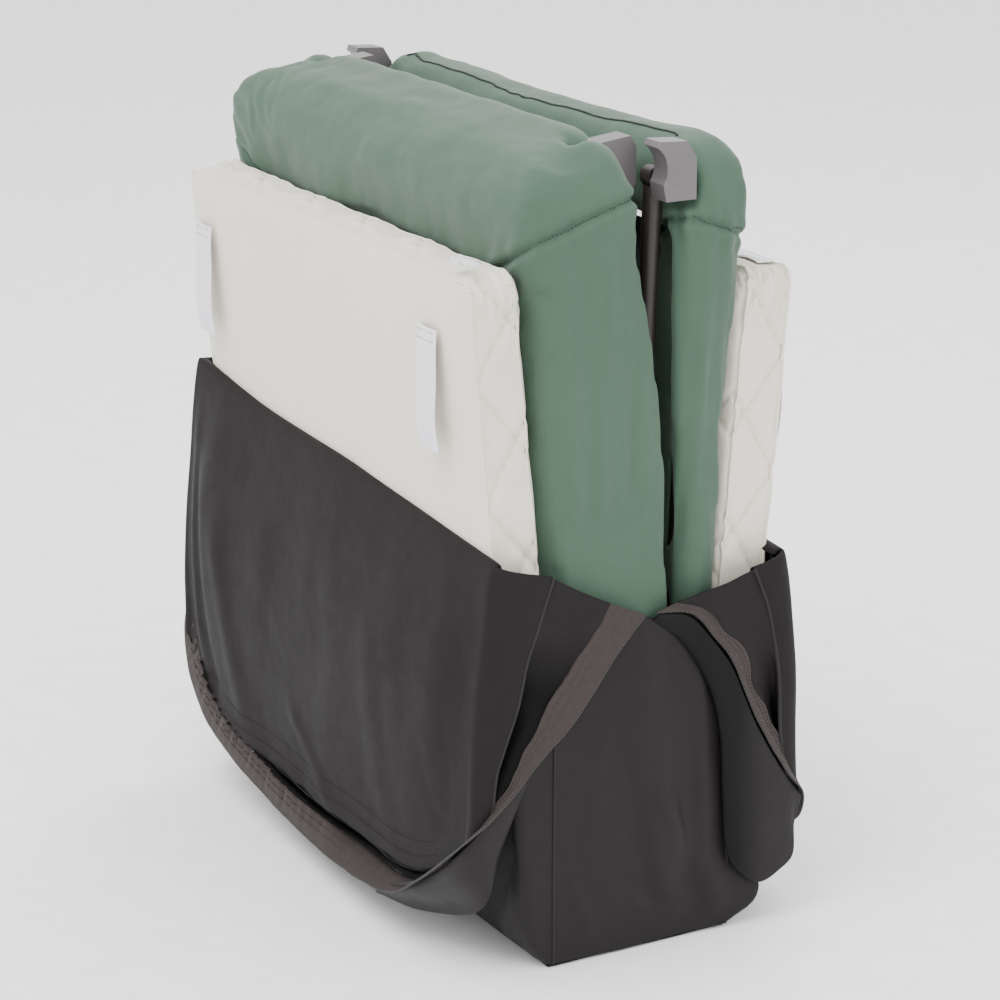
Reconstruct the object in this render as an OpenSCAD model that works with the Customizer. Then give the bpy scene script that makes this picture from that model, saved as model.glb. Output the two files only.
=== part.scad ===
// Folded travel playpen standing in its opened carry bag.
// Two padded end frames stand face to face with the folded rails, nets and floor between
// them, and one mattress half leans on the outside of each frame. X runs along the width,
// -Y is the front, +Z is up, and the origin is the middle of the bag's base on the floor.

/* [Frames] */
// Width of each padded end frame
frame_w = 635; // [600:5:660]
// Height of the padded top rail above the floor
frame_h = 782; // [760:1:800]
// Radius of the front frame's padded top rail
front_roll_r = 58; // [52:1:60]
// Radius of the rear frame's padded top rail
rear_roll_r = 35.5; // [32:0.5:37]
// Outer diameter of the frame tubes
tube_d = 22; // [19:0.5:24]
// Outer diameter of the folding side rails
rail_d = 18; // [16:0.5:19]
// Length of one half of a folding side rail, pivot to pivot
rail_len = 470; // [420:5:480]

/* [Mattress] */
// Width of each mattress half
mattress_w = 624; // [600:2:626]
// Thickness of each mattress half
mattress_t = 60; // [40:1:60]
// Length of the front mattress half, standing on end
front_mattress_h = 652; // [600:2:660]
// Length of the rear mattress half, standing on end
rear_mattress_h = 636; // [600:2:650]
// Width of a mattress strap
strap_w = 38; // [25:1:45]
// Length of a mattress strap
strap_len = 116; // [80:1:130]

/* [Bag] */
// Depth of the bag's flat base, front to rear
base_depth = 194; // [180:2:200]
// Thickness of the bag's fabric walls with their lining
wall_t = 3; // [2:0.5:4]
// Height of the front fold line at the left end
front_rim_left = 455; // [430:5:470]
// Height of the front fold line at the right end
front_rim_right = 387; // [370:1:400]
// Length of the turned-down flap at the left end
flap_len = 420; // [380:5:425]
// Width of the zip tape along the flap's free edge
tape_w = 30; // [20:1:36]

/* [Hidden] */
$fn = 48;
fit_gap = 0.3;
half_w = frame_w / 2;

// Tube planes: [y, z] at the foot rail and at the top rail of each frame
front_foot = [-30, 42];
front_top = [-62, frame_h - front_roll_r];
rear_foot = [46, 42];
rear_top = [77, frame_h - 2 - rear_roll_r];
front_tilt = atan2(front_foot[0] - front_top[0], front_top[1] - front_foot[1]);
rear_tilt = -atan2(rear_top[0] - rear_foot[0], rear_top[1] - rear_foot[1]);
front_rise = norm(front_top - front_foot);
rear_rise = norm(rear_top - rear_foot);
post_x = 288;
bend_r = 60;
tube_wall = 1.5;
foot_rail_z = 10;
sleeve_split = 700;
skirt_z = 650;
sleeve_w = 81;
lip_x = 297;
pocket_wall = 15;

// Corner pivots and the fold hinge of the rear frame
front_pivot = [-4, 745];
rear_pivot = [30, 745];
fold_pivot = [20.65, 30];
pin_r = 4;
running_gap = 0.05;
knuckle_r = 10;
rail_half_gap = (rear_pivot[0] - front_pivot[0]) / 2;
rail_lean = asin(rail_half_gap / rail_len);
rail_hinge = [(front_pivot[0] + rear_pivot[0]) / 2, front_pivot[1] - rail_len * cos(rail_lean)];
front_rail_x = 259;
rear_rail_x = 282;
knuckle_w = 15;

// Mattress planes: inner bottom edge [y, z] and lean of each half
front_rest = [-59, 36];
rear_rest = [64.5, 26];
front_lean = 5.33;
rear_lean = -4.51;
cover_t = 2;
board_t = 3;
zip_t = 1.5;
zip_w = 16;
zip_inset = 8;
strap_t = 2;
strap_left_x = -268;
strap_right_x = 231;
strap_drop = 62;

// Bag
base_t = 3;
board_h = 4;
bag_x = half_w + 1.5;
bag_out = bag_x + wall_t;
front_slope = tan(front_lean);
rear_slope = tan(-rear_lean);
front_knee = [-120.3, 30];
rear_knee = [125.9, 21];
rear_rim_left = 440;
rear_rim_right = 376;
dip_right = 337;
dip_left = 400;
dip_y = 15;
hinge_up = 5;
hinge_out = 3.5;
flap_t = 4;
flap_head_r = 2.5;
wing_x = 336;

green = "#7a9483";
charcoal = "#444243";
cream = "#ebe8e1";
grey = "#828286";

// Draws a [y, z] outline as a slab between two X planes.
module along_x(x0, x1) {
    translate([x0, 0, 0]) rotate([90, 0, 90]) linear_extrude(x1 - x0) children();
}
// Draws the same thing at both ends of the object.
module both_ends() {
    children();
    mirror([1, 0, 0]) children();
}
module x_pin(r, x0, x1, at) {
    translate([x0, at[0], at[1]]) rotate([0, 90, 0]) cylinder(r = r, h = x1 - x0);
}
module box(a, b) {
    translate(a) cube(b - a);
}
module front_plane() {
    translate([0, front_foot[0], front_foot[1]]) rotate([front_tilt, 0, 0]) children();
}
module rear_plane() {
    translate([0, rear_foot[0], rear_foot[1]]) rotate([rear_tilt, 0, 0]) children();
}

// One bent tube: a top rail, two bends and two posts, standing in the plane y = 0.
module bent_tube(r, rise, drop) {
    for (s = [-1, 1]) {
        translate([s * post_x, 0, -drop]) cylinder(r = r, h = rise - bend_r + drop);
        translate([s * (post_x - bend_r), 0, rise - bend_r]) rotate([90, 0, 0])
            rotate([0, 0, s > 0 ? 0 : 90]) rotate_extrude(angle = 90) translate([bend_r, 0]) circle(r);
    }
    translate([-(post_x - bend_r), 0, rise]) rotate([0, 90, 0])
        cylinder(r = r, h = 2 * (post_x - bend_r));
}
module frame_tube(rise) {
    difference() {
        bent_tube(tube_d / 2, rise, 10);
        bent_tube(tube_d / 2 - tube_wall, rise, 11);
    }
}
module foot_rail() {
    end = post_x - tube_d / 2;
    translate([0, 0, foot_rail_z]) difference() {
        x_pin(rail_d / 2, -end, end, [0, 0]);
        x_pin(rail_d / 2 - tube_wall, -end - 1, end + 1, [0, 0]);
    }
}
module feet() {
    both_ends() translate([post_x, 0, -33]) cylinder(r = 13, h = 22.8);
}
// A socket round the foot of each post, with an arm to the fold hinge.
module lower_bracket(foot, tilt, arm_x, hole_r) {
    difference() {
        union() {
            translate([0, foot[0], foot[1]]) rotate([tilt, 0, 0]) translate([post_x, 0, -10])
                cylinder(r = 15, h = 40);
            box([arm_x, min(foot[0], fold_pivot[0]), 22], [post_x - 14, max(foot[0], fold_pivot[0]), 38]);
            box([arm_x, foot[0] - 10, 33], [post_x, foot[0] + 10, 43.5]);
            x_pin(8, arm_x, arm_x + 7, fold_pivot);
        }
        translate([0, foot[0], foot[1]]) rotate([tilt, 0, 0])
            translate([post_x, 0, -11]) cylinder(r = tube_d / 2 + running_gap, h = 50);
        translate([0, foot[0], foot[1]]) rotate([tilt, 0, 0]) translate([0, 0, foot_rail_z])
            x_pin(rail_d / 2 + fit_gap, post_x - 40, post_x, [0, 0]);
        box([arm_x + 7, fold_pivot[0] - 9, 20], [post_x + 9, fold_pivot[0] + 9, 40]);
        x_pin(hole_r, arm_x - 1, arm_x + 8, fold_pivot);
    }
}

// Padded sleeves: each frame is one outline in Y and Z, rounded over its top rail.
function over_roll(at, r) = [for (a = [180:-10:0]) at + r * [cos(a), sin(a)]];
module front_outline() {
    polygon(concat([[-57, 30]], over_roll(front_top, front_roll_r),
        [[18, 604], [27, 540], [38, 345], [20, 30]]));
}
module rear_outline() {
    polygon(concat([[28, 30], [48, 345], [41, 540], [37, 620]], over_roll(rear_top, rear_roll_r),
        [[62, 30]]));
}
// The frame seen from the front, with large rounded top corners.
module face_outline(top) {
    corner = 62;
    rotate([90, 0, 0]) translate([0, 0, -200]) linear_extrude(400) {
        for (s = [-1, 1]) translate([s * (half_w - corner), top - corner]) circle(corner);
        translate([-half_w, 0]) square([frame_w, top - corner]);
        translate([-half_w + corner, 0]) square([frame_w - 2 * corner, top]);
    }
}
// Open space behind the post sleeves that holds the folded rails and the corner fittings.
module front_pocket() {
    along_x(-lip_x, lip_x) polygon([[front_foot[0] + pocket_wall, 20],
        [front_top[0] + pocket_wall, sleeve_split], [front_top[0] + pocket_wall, 702],
        [100, 702], [100, 20]]);
}
module rear_pocket() {
    along_x(-lip_x, lip_x) polygon([[rear_foot[0] - pocket_wall, 20],
        [rear_top[0] - pocket_wall, sleeve_split], [rear_top[0] - pocket_wall, 702],
        [-100, 702], [-100, 20]]);
}
module sleeve_block(top) {
    intersection() {
        along_x(-half_w, half_w) children();
        face_outline(top);
    }
}
module front_sleeve(a, b) {
    difference() {
        intersection() {
            sleeve_block(frame_h) front_outline();
            box(a, b);
        }
        front_pocket();
        both_ends() box([244, -51, 690], [274.5, 30, 800]);
        front_plane() foot_rail_bore();
        front_plane() bent_tube(tube_d / 2 + fit_gap, front_rise, 80);
        front_plane() both_ends() translate([post_x, 0, -12]) cylinder(r = 15 + fit_gap, h = 43);
    }
}
module rear_sleeve(a, b) {
    difference() {
        intersection() {
            sleeve_block(frame_h - 2) rear_outline();
            box(a, b);
        }
        rear_pocket();
        both_ends() box([288, -20, 718], [320, 58, 800]);
        rear_plane() foot_rail_bore();
        rear_plane() bent_tube(tube_d / 2 + fit_gap, rear_rise, 80);
        rear_plane() both_ends() translate([post_x, 0, -12]) cylinder(r = 15 + fit_gap, h = 43);
    }
}
// Hole in the foot of each post sleeve for the foot rail.
module foot_rail_bore() {
    translate([0, 0, foot_rail_z]) x_pin(rail_d / 2 + fit_gap, -280, 280, [0, 0]);
}
// The lower part of the front top rail's padding, between the posts: rounded behind,
// and dropping straight down in front, behind the mattress.
module front_roll_under() {
    under = half_w - sleeve_w - 0.5;
    difference() {
        union() {
            intersection() {
                x_pin(front_roll_r, -under, under, front_top);
                box([-under, -200, 600], [under, 100, sleeve_split + 1]);
            }
            intersection() {
                sleeve_block(frame_h - 2) front_outline();
                box([-under, -200, skirt_z], [under, front_top[0] - 2, sleeve_split + 1]);
            }
        }
        front_plane() bent_tube(tube_d / 2 + fit_gap, front_rise, 80);
    }
}
module front_post_sleeve(s) {
    inner = half_w - sleeve_w;
    front_sleeve([s > 0 ? inner : -half_w, -200, 44], [s > 0 ? half_w : -inner, 100, sleeve_split]);
}
module rear_post_sleeve(s) {
    inner = half_w - sleeve_w;
    rear_sleeve([s > 0 ? inner : -half_w, -100, 44], [s > 0 ? half_w : -inner, 200, sleeve_split]);
}
module foot_sleeve() {
    translate([0, 0, foot_rail_z]) difference() {
        x_pin(15, -230, 230, [0, 0]);
        x_pin(rail_d / 2 + fit_gap, -231, 231, [0, 0]);
    }
}
module wall_panel(rise) {
    box([-234, -1.5, 30], [234, 1.5, rise - 60]);
}

// Corner fittings: a forked block on the front frame, and on the rear one a plate whose
// hollow front edge faces the block.
module block_profile() {
    polygon([[-50, 722], [8, 722], [18, 738], [18, 772], [12, 782], [-22, 778], [-50, 766]]);
}
module corner_block() {
    difference() {
        along_x(246.2, 271.8) block_profile();
        along_x(249.7, 268.3) polygon([[-18, 700], [40, 700], [40, 766], [-18, 766]]);
        x_pin(pin_r + running_gap, 245, 273, front_pivot);
    }
}
module corner_cap() {
    difference() {
        along_x(291.3, 315) polygon([[24, 727], [56, 727], [56, 765], [46, 781], [16, 783], [14, 776]]);
        along_x(290, 316) translate([0, 757]) circle(25);
        x_pin(pin_r + running_gap, 290, 304, rear_pivot);
    }
}
// Half of a side rail: a tube with a flat knuckle at each end.
module rail_half(x, top, low_r) {
    lean = atan2(rail_hinge[0] - top[0], top[1] - rail_hinge[1]);
    difference() {
        union() {
            translate([x, top[0], top[1]]) rotate([lean, 0, 0])
                translate([0, 0, -rail_len + 8]) cylinder(r = rail_d / 2, h = rail_len - 16);
            for (at = [top, rail_hinge]) x_pin(knuckle_r, x - knuckle_w / 2, x + knuckle_w / 2, at);
        }
        translate([x, top[0], top[1]]) rotate([lean, 0, 0])
            translate([0, 0, -rail_len + 20]) cylinder(r = rail_d / 2 - tube_wall, h = rail_len - 40);
        x_pin(pin_r + running_gap, x - 20, x + 20, top);
        x_pin(low_r, x - 20, x + 20, rail_hinge);
    }
}
module front_rail() {
    rail_half(front_rail_x, front_pivot, pin_r);
    x_pin(pin_r, front_rail_x - knuckle_w / 2, rear_rail_x + knuckle_w / 2 + 2, rail_hinge);
}
module rear_rail() {
    rail_half(rear_rail_x, rear_pivot, pin_r + 2);
}

// Mattress halves, drawn upright with the inner face at y = 0 and the outside towards -Y.
module front_bed() {
    translate([0, front_rest[0], front_rest[1]]) rotate([front_lean, 0, 0]) children();
}
module rear_bed() {
    translate([0, rear_rest[0], rear_rest[1]]) rotate([rear_lean, 0, 0]) rotate([0, 0, 180]) children();
}
module mattress_cover(h) {
    difference() {
        mattress_block(0, h);
        mattress_block(cover_t, h);
    }
}
// The mattress block shrunk by a margin on every side, with rounded upright corners.
module mattress_block(m, h) {
    r = 18 - m;
    w = mattress_w / 2 - m;
    rotate([90, 0, 0]) translate([0, 0, m]) linear_extrude(mattress_t - 2 * m) {
        for (s = [-1, 1]) for (z = [m + r, h - m - r]) translate([s * (w - r), z]) circle(r);
        translate([-w, m + r]) square([2 * w, h - 2 * m - 2 * r]);
        translate([-w + r, m]) square([2 * (w - r), h - 2 * m]);
    }
}
module mattress_board(h) {
    intersection() {
        mattress_block(cover_t, h);
        box([-400, -mattress_t, 0], [400, -mattress_t + cover_t + board_t, h]);
    }
}
module mattress_core(h) {
    difference() {
        mattress_block(cover_t, h);
        box([-400, -mattress_t, -1], [400, -mattress_t + cover_t + board_t, h + 1]);
    }
}
module mattress_zip(h) {
    y0 = -mattress_t + zip_inset;
    half = mattress_w / 2;
    box([-half + 20, y0, h], [half - 30, y0 + zip_w, h + zip_t]);
    box([-half - zip_t, y0, 90], [-half, y0 + zip_w, h - 20]);
}
module zip_slider(h) {
    y0 = -mattress_t + zip_inset + zip_w / 2;
    top = h + zip_t + fit_gap;
    difference() {
        box([262, y0 - 5, top], [278, y0 + 5, top + 6]);
        box([261, y0 - 2.2, top + 2.2], [279, y0 + 2.2, top + 7]);
    }
}
module zip_pull(h) {
    y0 = -mattress_t + zip_inset + zip_w / 2;
    top = h + zip_t + fit_gap;
    box([268.4, y0 - 1.6, top + 3.1], [279.5, y0 + 1.6, top + 5.1]);
    box([279.5, y0 - 4, top + 3.1], [300, y0 + 4, top + 5.1]);
}
// A strap hangs straight down from its seam near the top of the leaning mattress.
module front_strap(x) {
    at = front_rest[0] - mattress_t * cos(front_lean)
        - (front_mattress_h - strap_drop) * sin(front_lean);
    z = front_rest[1] - mattress_t * sin(front_lean)
        + (front_mattress_h - strap_drop) * cos(front_lean);
    box([x - strap_w / 2, at - 1.2 - strap_t, z - strap_len], [x + strap_w / 2, at - 1.2, z]);
}
module rear_strap(x) {
    at = rear_rest[0] + mattress_t * cos(rear_lean)
        + (rear_mattress_h - strap_drop) * sin(-rear_lean);
    z = rear_rest[1] + mattress_t * sin(rear_lean)
        + (rear_mattress_h - strap_drop) * cos(rear_lean);
    box([x - strap_w / 2, at + 1.2, z - strap_len], [x + strap_w / 2, at + 1.2 + strap_t, z]);
}

// Bag walls lean outwards from the base with the mattress halves behind them.
function front_wall_y(z) = front_knee[0] - (z - front_knee[1]) * front_slope;
function rear_wall_y(z) = rear_knee[0] + (z - rear_knee[1]) * rear_slope;
module rim_cut(left, right) {
    // everything above the slanting fold line
    rotate([90, 0, 0]) translate([0, 0, -300]) linear_extrude(600)
        polygon([[-bag_out, left], [bag_out, right], [bag_out + 50, 900], [-bag_out - 50, 900]]);
}
module front_wall() {
    half = base_depth / 2;
    top = 470;
    difference() {
        along_x(-bag_out, bag_out) polygon([[-half, 0.5], front_knee, [front_wall_y(top), top],
            [front_wall_y(top) - wall_t, top], [front_knee[0] - wall_t, front_knee[1]],
            [-half - wall_t, 0.5]]);
        rim_cut(front_rim_left, front_rim_right);
    }
}
module rear_wall() {
    half = base_depth / 2;
    top = 460;
    difference() {
        along_x(-bag_out, bag_out) polygon([[half, 0.5], rear_knee, [rear_wall_y(top), top],
            [rear_wall_y(top) + wall_t, top], [rear_knee[0] + wall_t, rear_knee[1]],
            [half + wall_t, 0.5]]);
        rim_cut(rear_rim_left, rear_rim_right);
    }
}
module end_wall(front_z, dip, rear_z) {
    half = base_depth / 2;
    along_x(bag_x, bag_out) polygon([[-half, 0.5], front_knee, [front_wall_y(front_z), front_z],
        [dip_y, dip], [rear_wall_y(rear_z), rear_z], rear_knee, [half, 0.5]]);
}

// The turned-down flaps hang from the slanting fold lines.
front_fold_y = (front_wall_y(front_rim_left) + front_wall_y(front_rim_right)) / 2 - wall_t - hinge_out;
front_fold_z = (front_rim_left + front_rim_right) / 2 + hinge_up;
front_fall = atan2(front_rim_left - front_rim_right, 2 * bag_out);
front_turn = atan2((front_rim_left - front_rim_right) * front_slope, 2 * bag_out);
rear_fold_y = (rear_wall_y(rear_rim_left) + rear_wall_y(rear_rim_right)) / 2 + wall_t + hinge_out;
rear_fold_z = (rear_rim_left + rear_rim_right) / 2 + hinge_up;
rear_fall = atan2(rear_rim_left - rear_rim_right, 2 * bag_out);
rear_turn = -atan2((rear_rim_left - rear_rim_right) * rear_slope, 2 * bag_out);
flap_line = [[0, 0], [-14, -60], [-31, -180], [-34, -270], [-24, -360], [-10, -flap_len]];

module front_fold() {
    translate([0, front_fold_y, front_fold_z]) rotate([0, front_fall, front_turn]) children();
}
module rear_fold() {
    translate([0, rear_fold_y, rear_fold_z]) rotate([0, rear_fall, rear_turn])
        mirror([0, 1, 0]) children();
}
// Cross-section of a flap, t thick, outside its centre line by out
module flap_section(t, out) {
    n = len(flap_line);
    polygon(concat([for (i = [0:n - 1]) flap_line[i] + [-out, 0]],
        [for (i = [n - 1:-1:0]) flap_line[i] + [-out - t, 0]]));
}
// The flap seen from the front: its right end is cut up towards the end wall. Its upright
// edges stay plumb while the fold line slants by fall.
module flap_face(m, fall) {
    k = tan(fall);
    rotate([90, 0, 0]) translate([0, 0, -300]) linear_extrude(600)
        polygon([for (p = [[-318 + m, 5], [318 - m, 5], [318 - m, -200], [280, -270 + m],
            [200, -325 + m], [100, -365 + m], [0, -385 + m], [-220, -410 + m],
            [-318 + m, -380 + m]]) [p[0] - k * p[1], p[1]]]);
}
module flap_sheet(fall) {
    intersection() {
        union() {
            along_x(-360, 360) flap_section(flap_t, -flap_t / 2);
            along_x(-318, 318) circle(flap_head_r);
        }
        flap_face(0, fall);
    }
}
module flap_tape(fall) {
    difference() {
        intersection() {
            along_x(-360, 360) flap_section(1.5, flap_t / 2);
            flap_face(0, fall);
        }
        flap_face(tape_w, fall);
        box([-400, -100, -150], [400, 100, 50]);
    }
}
// A raised edge binding along each upright edge of a flap.
module flap_piping(fall) {
    k = tan(fall);
    intersection() {
        along_x(-380, 380) flap_section(5, -2.5);
        rotate([90, 0, 0]) translate([0, 0, -300]) linear_extrude(600) for (e = [[-322, 375], [318.2, 195]])
            polygon([[e[0] + 3 * k, -3], [e[0] + 3.8 + 3 * k, -3], [e[0] + 3.8 + e[1] * k, -e[1]],
                [e[0] + e[1] * k, -e[1]]]);
    }
}
// Side gussets of a flap, hanging outside the end walls; y0 to y1 is away from the fold line.
module wings(y1, low) {
    both_ends() along_x(wing_x, wing_x + 4) polygon([[4, -12], [y1, -40], [y1 - 10, -75],
        [y1 - 45, -112], [y1 - 90, -145], [y1 - 125, -low], [-30, -low - 25], [-24, -120]]);
}

module base_board() { color("#2c2b2c") box([-312, -92, base_t + 0.2], [312, 92, base_t + 0.2 + board_h]); }
module bag_base() {
    color(charcoal) box([-bag_out, -base_depth / 2 + 0.1, 0], [bag_out, base_depth / 2 - 0.1, base_t]);
}
module bag_front() { color(charcoal) front_wall(); }
module bag_rear() { color(charcoal) rear_wall(); }
module bag_end_right() { color(charcoal) end_cut() end_wall(front_rim_right, dip_right, rear_rim_right); }
module bag_end_left() {
    color(charcoal) end_cut() mirror([1, 0, 0]) end_wall(front_rim_left, dip_left, rear_rim_left);
}
// Keeps the end walls above the base plate.
module end_cut() {
    difference() {
        children();
        box([-400, -150, -1], [400, 150, base_t + 0.1]);
    }
}
module bag_zip_slider() {
    color(grey) difference() {
        box([-bag_out - 8, dip_y - 7, dip_left - 30], [-bag_out - 0.2, dip_y + 7, dip_left - 6]);
        box([-bag_out - 9, dip_y - 3, dip_left - 31], [-bag_out - 3, dip_y + 3, dip_left - 14]);
    }
}
module bag_zip_pull() {
    color(grey) box([-bag_out - 6.5, dip_y - 2.6, dip_left - 62], [-bag_out - 4.5, dip_y + 2.6, dip_left - 16]);
}
module front_flap() { color(charcoal) front_fold() flap_sheet(front_fall); }
module front_flap_wings() { color(charcoal) flap_wings_front(); }
module flap_wings_front() {
    translate([0, front_fold_y, front_fold_z]) wings(130, 220);
}
module front_flap_zip_tape() { color("#62585a") front_fold() flap_tape(front_fall); }
module front_flap_piping() { color(charcoal) front_fold() flap_piping(front_fall); }
module rear_flap() { color(charcoal) rear_fold() flap_sheet(rear_fall); }
module rear_flap_wings() {
    color(charcoal) translate([0, rear_fold_y, rear_fold_z]) mirror([0, 1, 0]) wings(112, 235);
}
module rear_flap_zip_tape() { color("#62585a") rear_fold() flap_tape(rear_fall); }
module rear_flap_piping() { color(charcoal) rear_fold() flap_piping(rear_fall); }

module front_tube() { color("silver") front_plane() frame_tube(front_rise); }
module front_foot_rail() { color("silver") front_plane() foot_rail(); }
module front_feet() { color("#222222") front_plane() feet(); }
module front_lower_brackets() {
    color(grey) both_ends() lower_bracket(front_foot, front_tilt, 255, pin_r);
}
module front_top_sleeve() {
    color(green) {
        front_sleeve([-half_w, -200, sleeve_split + 0.3], [half_w, 100, 800]);
        front_roll_under();
    }
}
module front_left_post_sleeve() { color(green) front_post_sleeve(-1); }
module front_right_post_sleeve() { color(green) front_post_sleeve(1); }
module front_foot_sleeve() { color(green) front_plane() foot_sleeve(); }
module front_panel() { color(green) front_plane() wall_panel(front_rise); }
module front_corner_blocks() { color(grey) both_ends() corner_block(); }
module front_pivot_pins() { color("silver") both_ends() x_pin(pin_r, 246.5, 271.5, front_pivot); }
module fold_pins() { color("silver") both_ends() x_pin(pin_r, 254, 272, fold_pivot); }

module rear_tube() { color("silver") rear_plane() frame_tube(rear_rise); }
module rear_foot_rail() { color("silver") rear_plane() foot_rail(); }
module rear_feet() { color("#222222") rear_plane() feet(); }
module rear_lower_brackets() {
    color(grey) both_ends() lower_bracket(rear_foot, rear_tilt, 262.5, pin_r + running_gap);
}
module rear_top_sleeve() {
    color(green) rear_sleeve([-half_w, -100, sleeve_split + 0.3], [half_w, 200, 800]);
}
module rear_left_post_sleeve() { color(green) rear_post_sleeve(-1); }
module rear_right_post_sleeve() { color(green) rear_post_sleeve(1); }
module rear_foot_sleeve() { color(green) rear_plane() foot_sleeve(); }
module rear_panel() { color(green) rear_plane() wall_panel(rear_rise); }
module rear_corner_caps() { color(grey) both_ends() corner_cap(); }
module rear_pivot_pins() { color("silver") both_ends() x_pin(pin_r, 274.6, 303.8, rear_pivot); }

module right_front_rail() { color("silver") front_rail(); }
module right_rear_rail() { color("silver") rear_rail(); }
module left_front_rail() { color("silver") mirror([1, 0, 0]) front_rail(); }
module left_rear_rail() { color("silver") mirror([1, 0, 0]) rear_rail(); }
module folded_nets() { color("#556b5d") both_ends() box([120, -18, 90], [232, 16, 560]); }
module folded_floor() { color("#3c4a41") box([-112, -18, 80], [112, 20, 640]); }

module front_mattress_cover() { color(cream) front_bed() mattress_cover(front_mattress_h); }
module front_mattress_core() { color("ivory") front_bed() mattress_core(front_mattress_h); }
module front_mattress_board() { color("tan") front_bed() mattress_board(front_mattress_h); }
module front_mattress_zip() { color("white") front_bed() mattress_zip(front_mattress_h); }
module front_zip_slider() { color("white") front_bed() zip_slider(front_mattress_h); }
module front_zip_pull() { color("white") front_bed() zip_pull(front_mattress_h); }
module front_strap_left() { color("white") front_strap(strap_left_x); }
module front_strap_right() { color("white") front_strap(strap_right_x); }
module rear_mattress_cover() { color(cream) rear_bed() mattress_cover(rear_mattress_h); }
module rear_mattress_core() { color("ivory") rear_bed() mattress_core(rear_mattress_h); }
module rear_mattress_board() { color("tan") rear_bed() mattress_board(rear_mattress_h); }
module rear_mattress_zip() { color("white") rear_bed() mattress_zip(rear_mattress_h); }
module rear_zip_slider() {
    color("white") rear_bed() {
        zip_slider(rear_mattress_h);
        zip_pull(rear_mattress_h);
    }
}
module rear_strap_left() { color("white") rear_strap(-strap_right_x); }
module rear_strap_right() { color("white") rear_strap(-strap_left_x); }

base_board();
bag_base();
bag_front();
bag_rear();
bag_end_right();
bag_end_left();
bag_zip_slider();
bag_zip_pull();
front_flap();
front_flap_wings();
front_flap_zip_tape();
front_flap_piping();
rear_flap();
rear_flap_wings();
rear_flap_zip_tape();
rear_flap_piping();
front_tube();
front_foot_rail();
front_feet();
front_lower_brackets();
front_top_sleeve();
front_left_post_sleeve();
front_right_post_sleeve();
front_foot_sleeve();
front_panel();
front_corner_blocks();
front_pivot_pins();
fold_pins();
rear_tube();
rear_foot_rail();
rear_feet();
rear_lower_brackets();
rear_top_sleeve();
rear_left_post_sleeve();
rear_right_post_sleeve();
rear_foot_sleeve();
rear_panel();
rear_corner_caps();
rear_pivot_pins();
right_front_rail();
right_rear_rail();
left_front_rail();
left_rear_rail();
folded_nets();
folded_floor();
front_mattress_cover();
front_mattress_core();
front_mattress_board();
front_mattress_zip();
front_zip_slider();
front_zip_pull();
front_strap_left();
front_strap_right();
rear_mattress_cover();
rear_mattress_core();
rear_mattress_board();
rear_mattress_zip();
rear_zip_slider();
rear_strap_left();
rear_strap_right();
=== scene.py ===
"""Looks of the folded travel playpen standing in its opened carry bag.

Every size is in metres. X runs along the width, -Y is the front, +Z is up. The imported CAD
model is the fixed frame: soft solids are replaced by sewn pieces, hard parts keep their shape.
"""
import math

import bmesh
import bpy
import numpy as np
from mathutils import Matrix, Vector, noise
from mathutils.bvhtree import BVHTree


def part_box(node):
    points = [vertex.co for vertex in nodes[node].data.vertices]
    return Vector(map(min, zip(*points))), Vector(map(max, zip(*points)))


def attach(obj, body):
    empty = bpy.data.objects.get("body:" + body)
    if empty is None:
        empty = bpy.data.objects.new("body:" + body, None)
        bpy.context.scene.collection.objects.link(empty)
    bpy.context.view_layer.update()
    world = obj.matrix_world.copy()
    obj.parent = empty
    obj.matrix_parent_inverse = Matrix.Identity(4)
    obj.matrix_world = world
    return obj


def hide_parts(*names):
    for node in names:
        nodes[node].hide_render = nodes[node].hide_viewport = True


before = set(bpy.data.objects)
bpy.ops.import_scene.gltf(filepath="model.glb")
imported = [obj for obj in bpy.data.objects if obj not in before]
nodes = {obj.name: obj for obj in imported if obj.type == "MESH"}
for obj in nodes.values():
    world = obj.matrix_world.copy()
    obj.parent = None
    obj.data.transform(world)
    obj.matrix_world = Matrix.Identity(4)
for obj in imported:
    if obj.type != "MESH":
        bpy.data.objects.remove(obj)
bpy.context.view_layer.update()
scene = bpy.context.scene

# ---- camera and light
CAM_AZIMUTH, CAM_ELEVATION, CAM_DISTANCE = math.radians(61.1), math.radians(17.26), 3.0
CAM_TARGET = Vector((0.1694, -0.0669, 0.4204))
CAM_LENS = 113.0


def look_from(azimuth, elevation):
    """Unit vector from the object towards a viewer."""
    return Vector((math.sin(azimuth) * math.cos(elevation), -math.cos(azimuth) * math.cos(elevation),
                   math.sin(elevation)))


camera_data = bpy.data.cameras.new("camera")
camera_data.lens = CAM_LENS
camera = bpy.data.objects.new("camera", camera_data)
scene.collection.objects.link(camera)
back = look_from(CAM_AZIMUTH, CAM_ELEVATION)
camera.location = CAM_TARGET + back * CAM_DISTANCE
camera.rotation_euler = (-back).to_track_quat("-Z", "Y").to_euler()
scene.camera = camera


def area_light(name, azimuth, elevation, distance, size, power):
    data = bpy.data.lights.new(name, "AREA")
    data.shape, data.size, data.energy = "DISK", size, power
    light = bpy.data.objects.new(name, data)
    scene.collection.objects.link(light)
    away = look_from(math.radians(azimuth), math.radians(elevation))
    light.location = Vector((0, 0, 0.4)) + away * distance
    light.rotation_euler = (-away).to_track_quat("-Z", "Y").to_euler()


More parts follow.
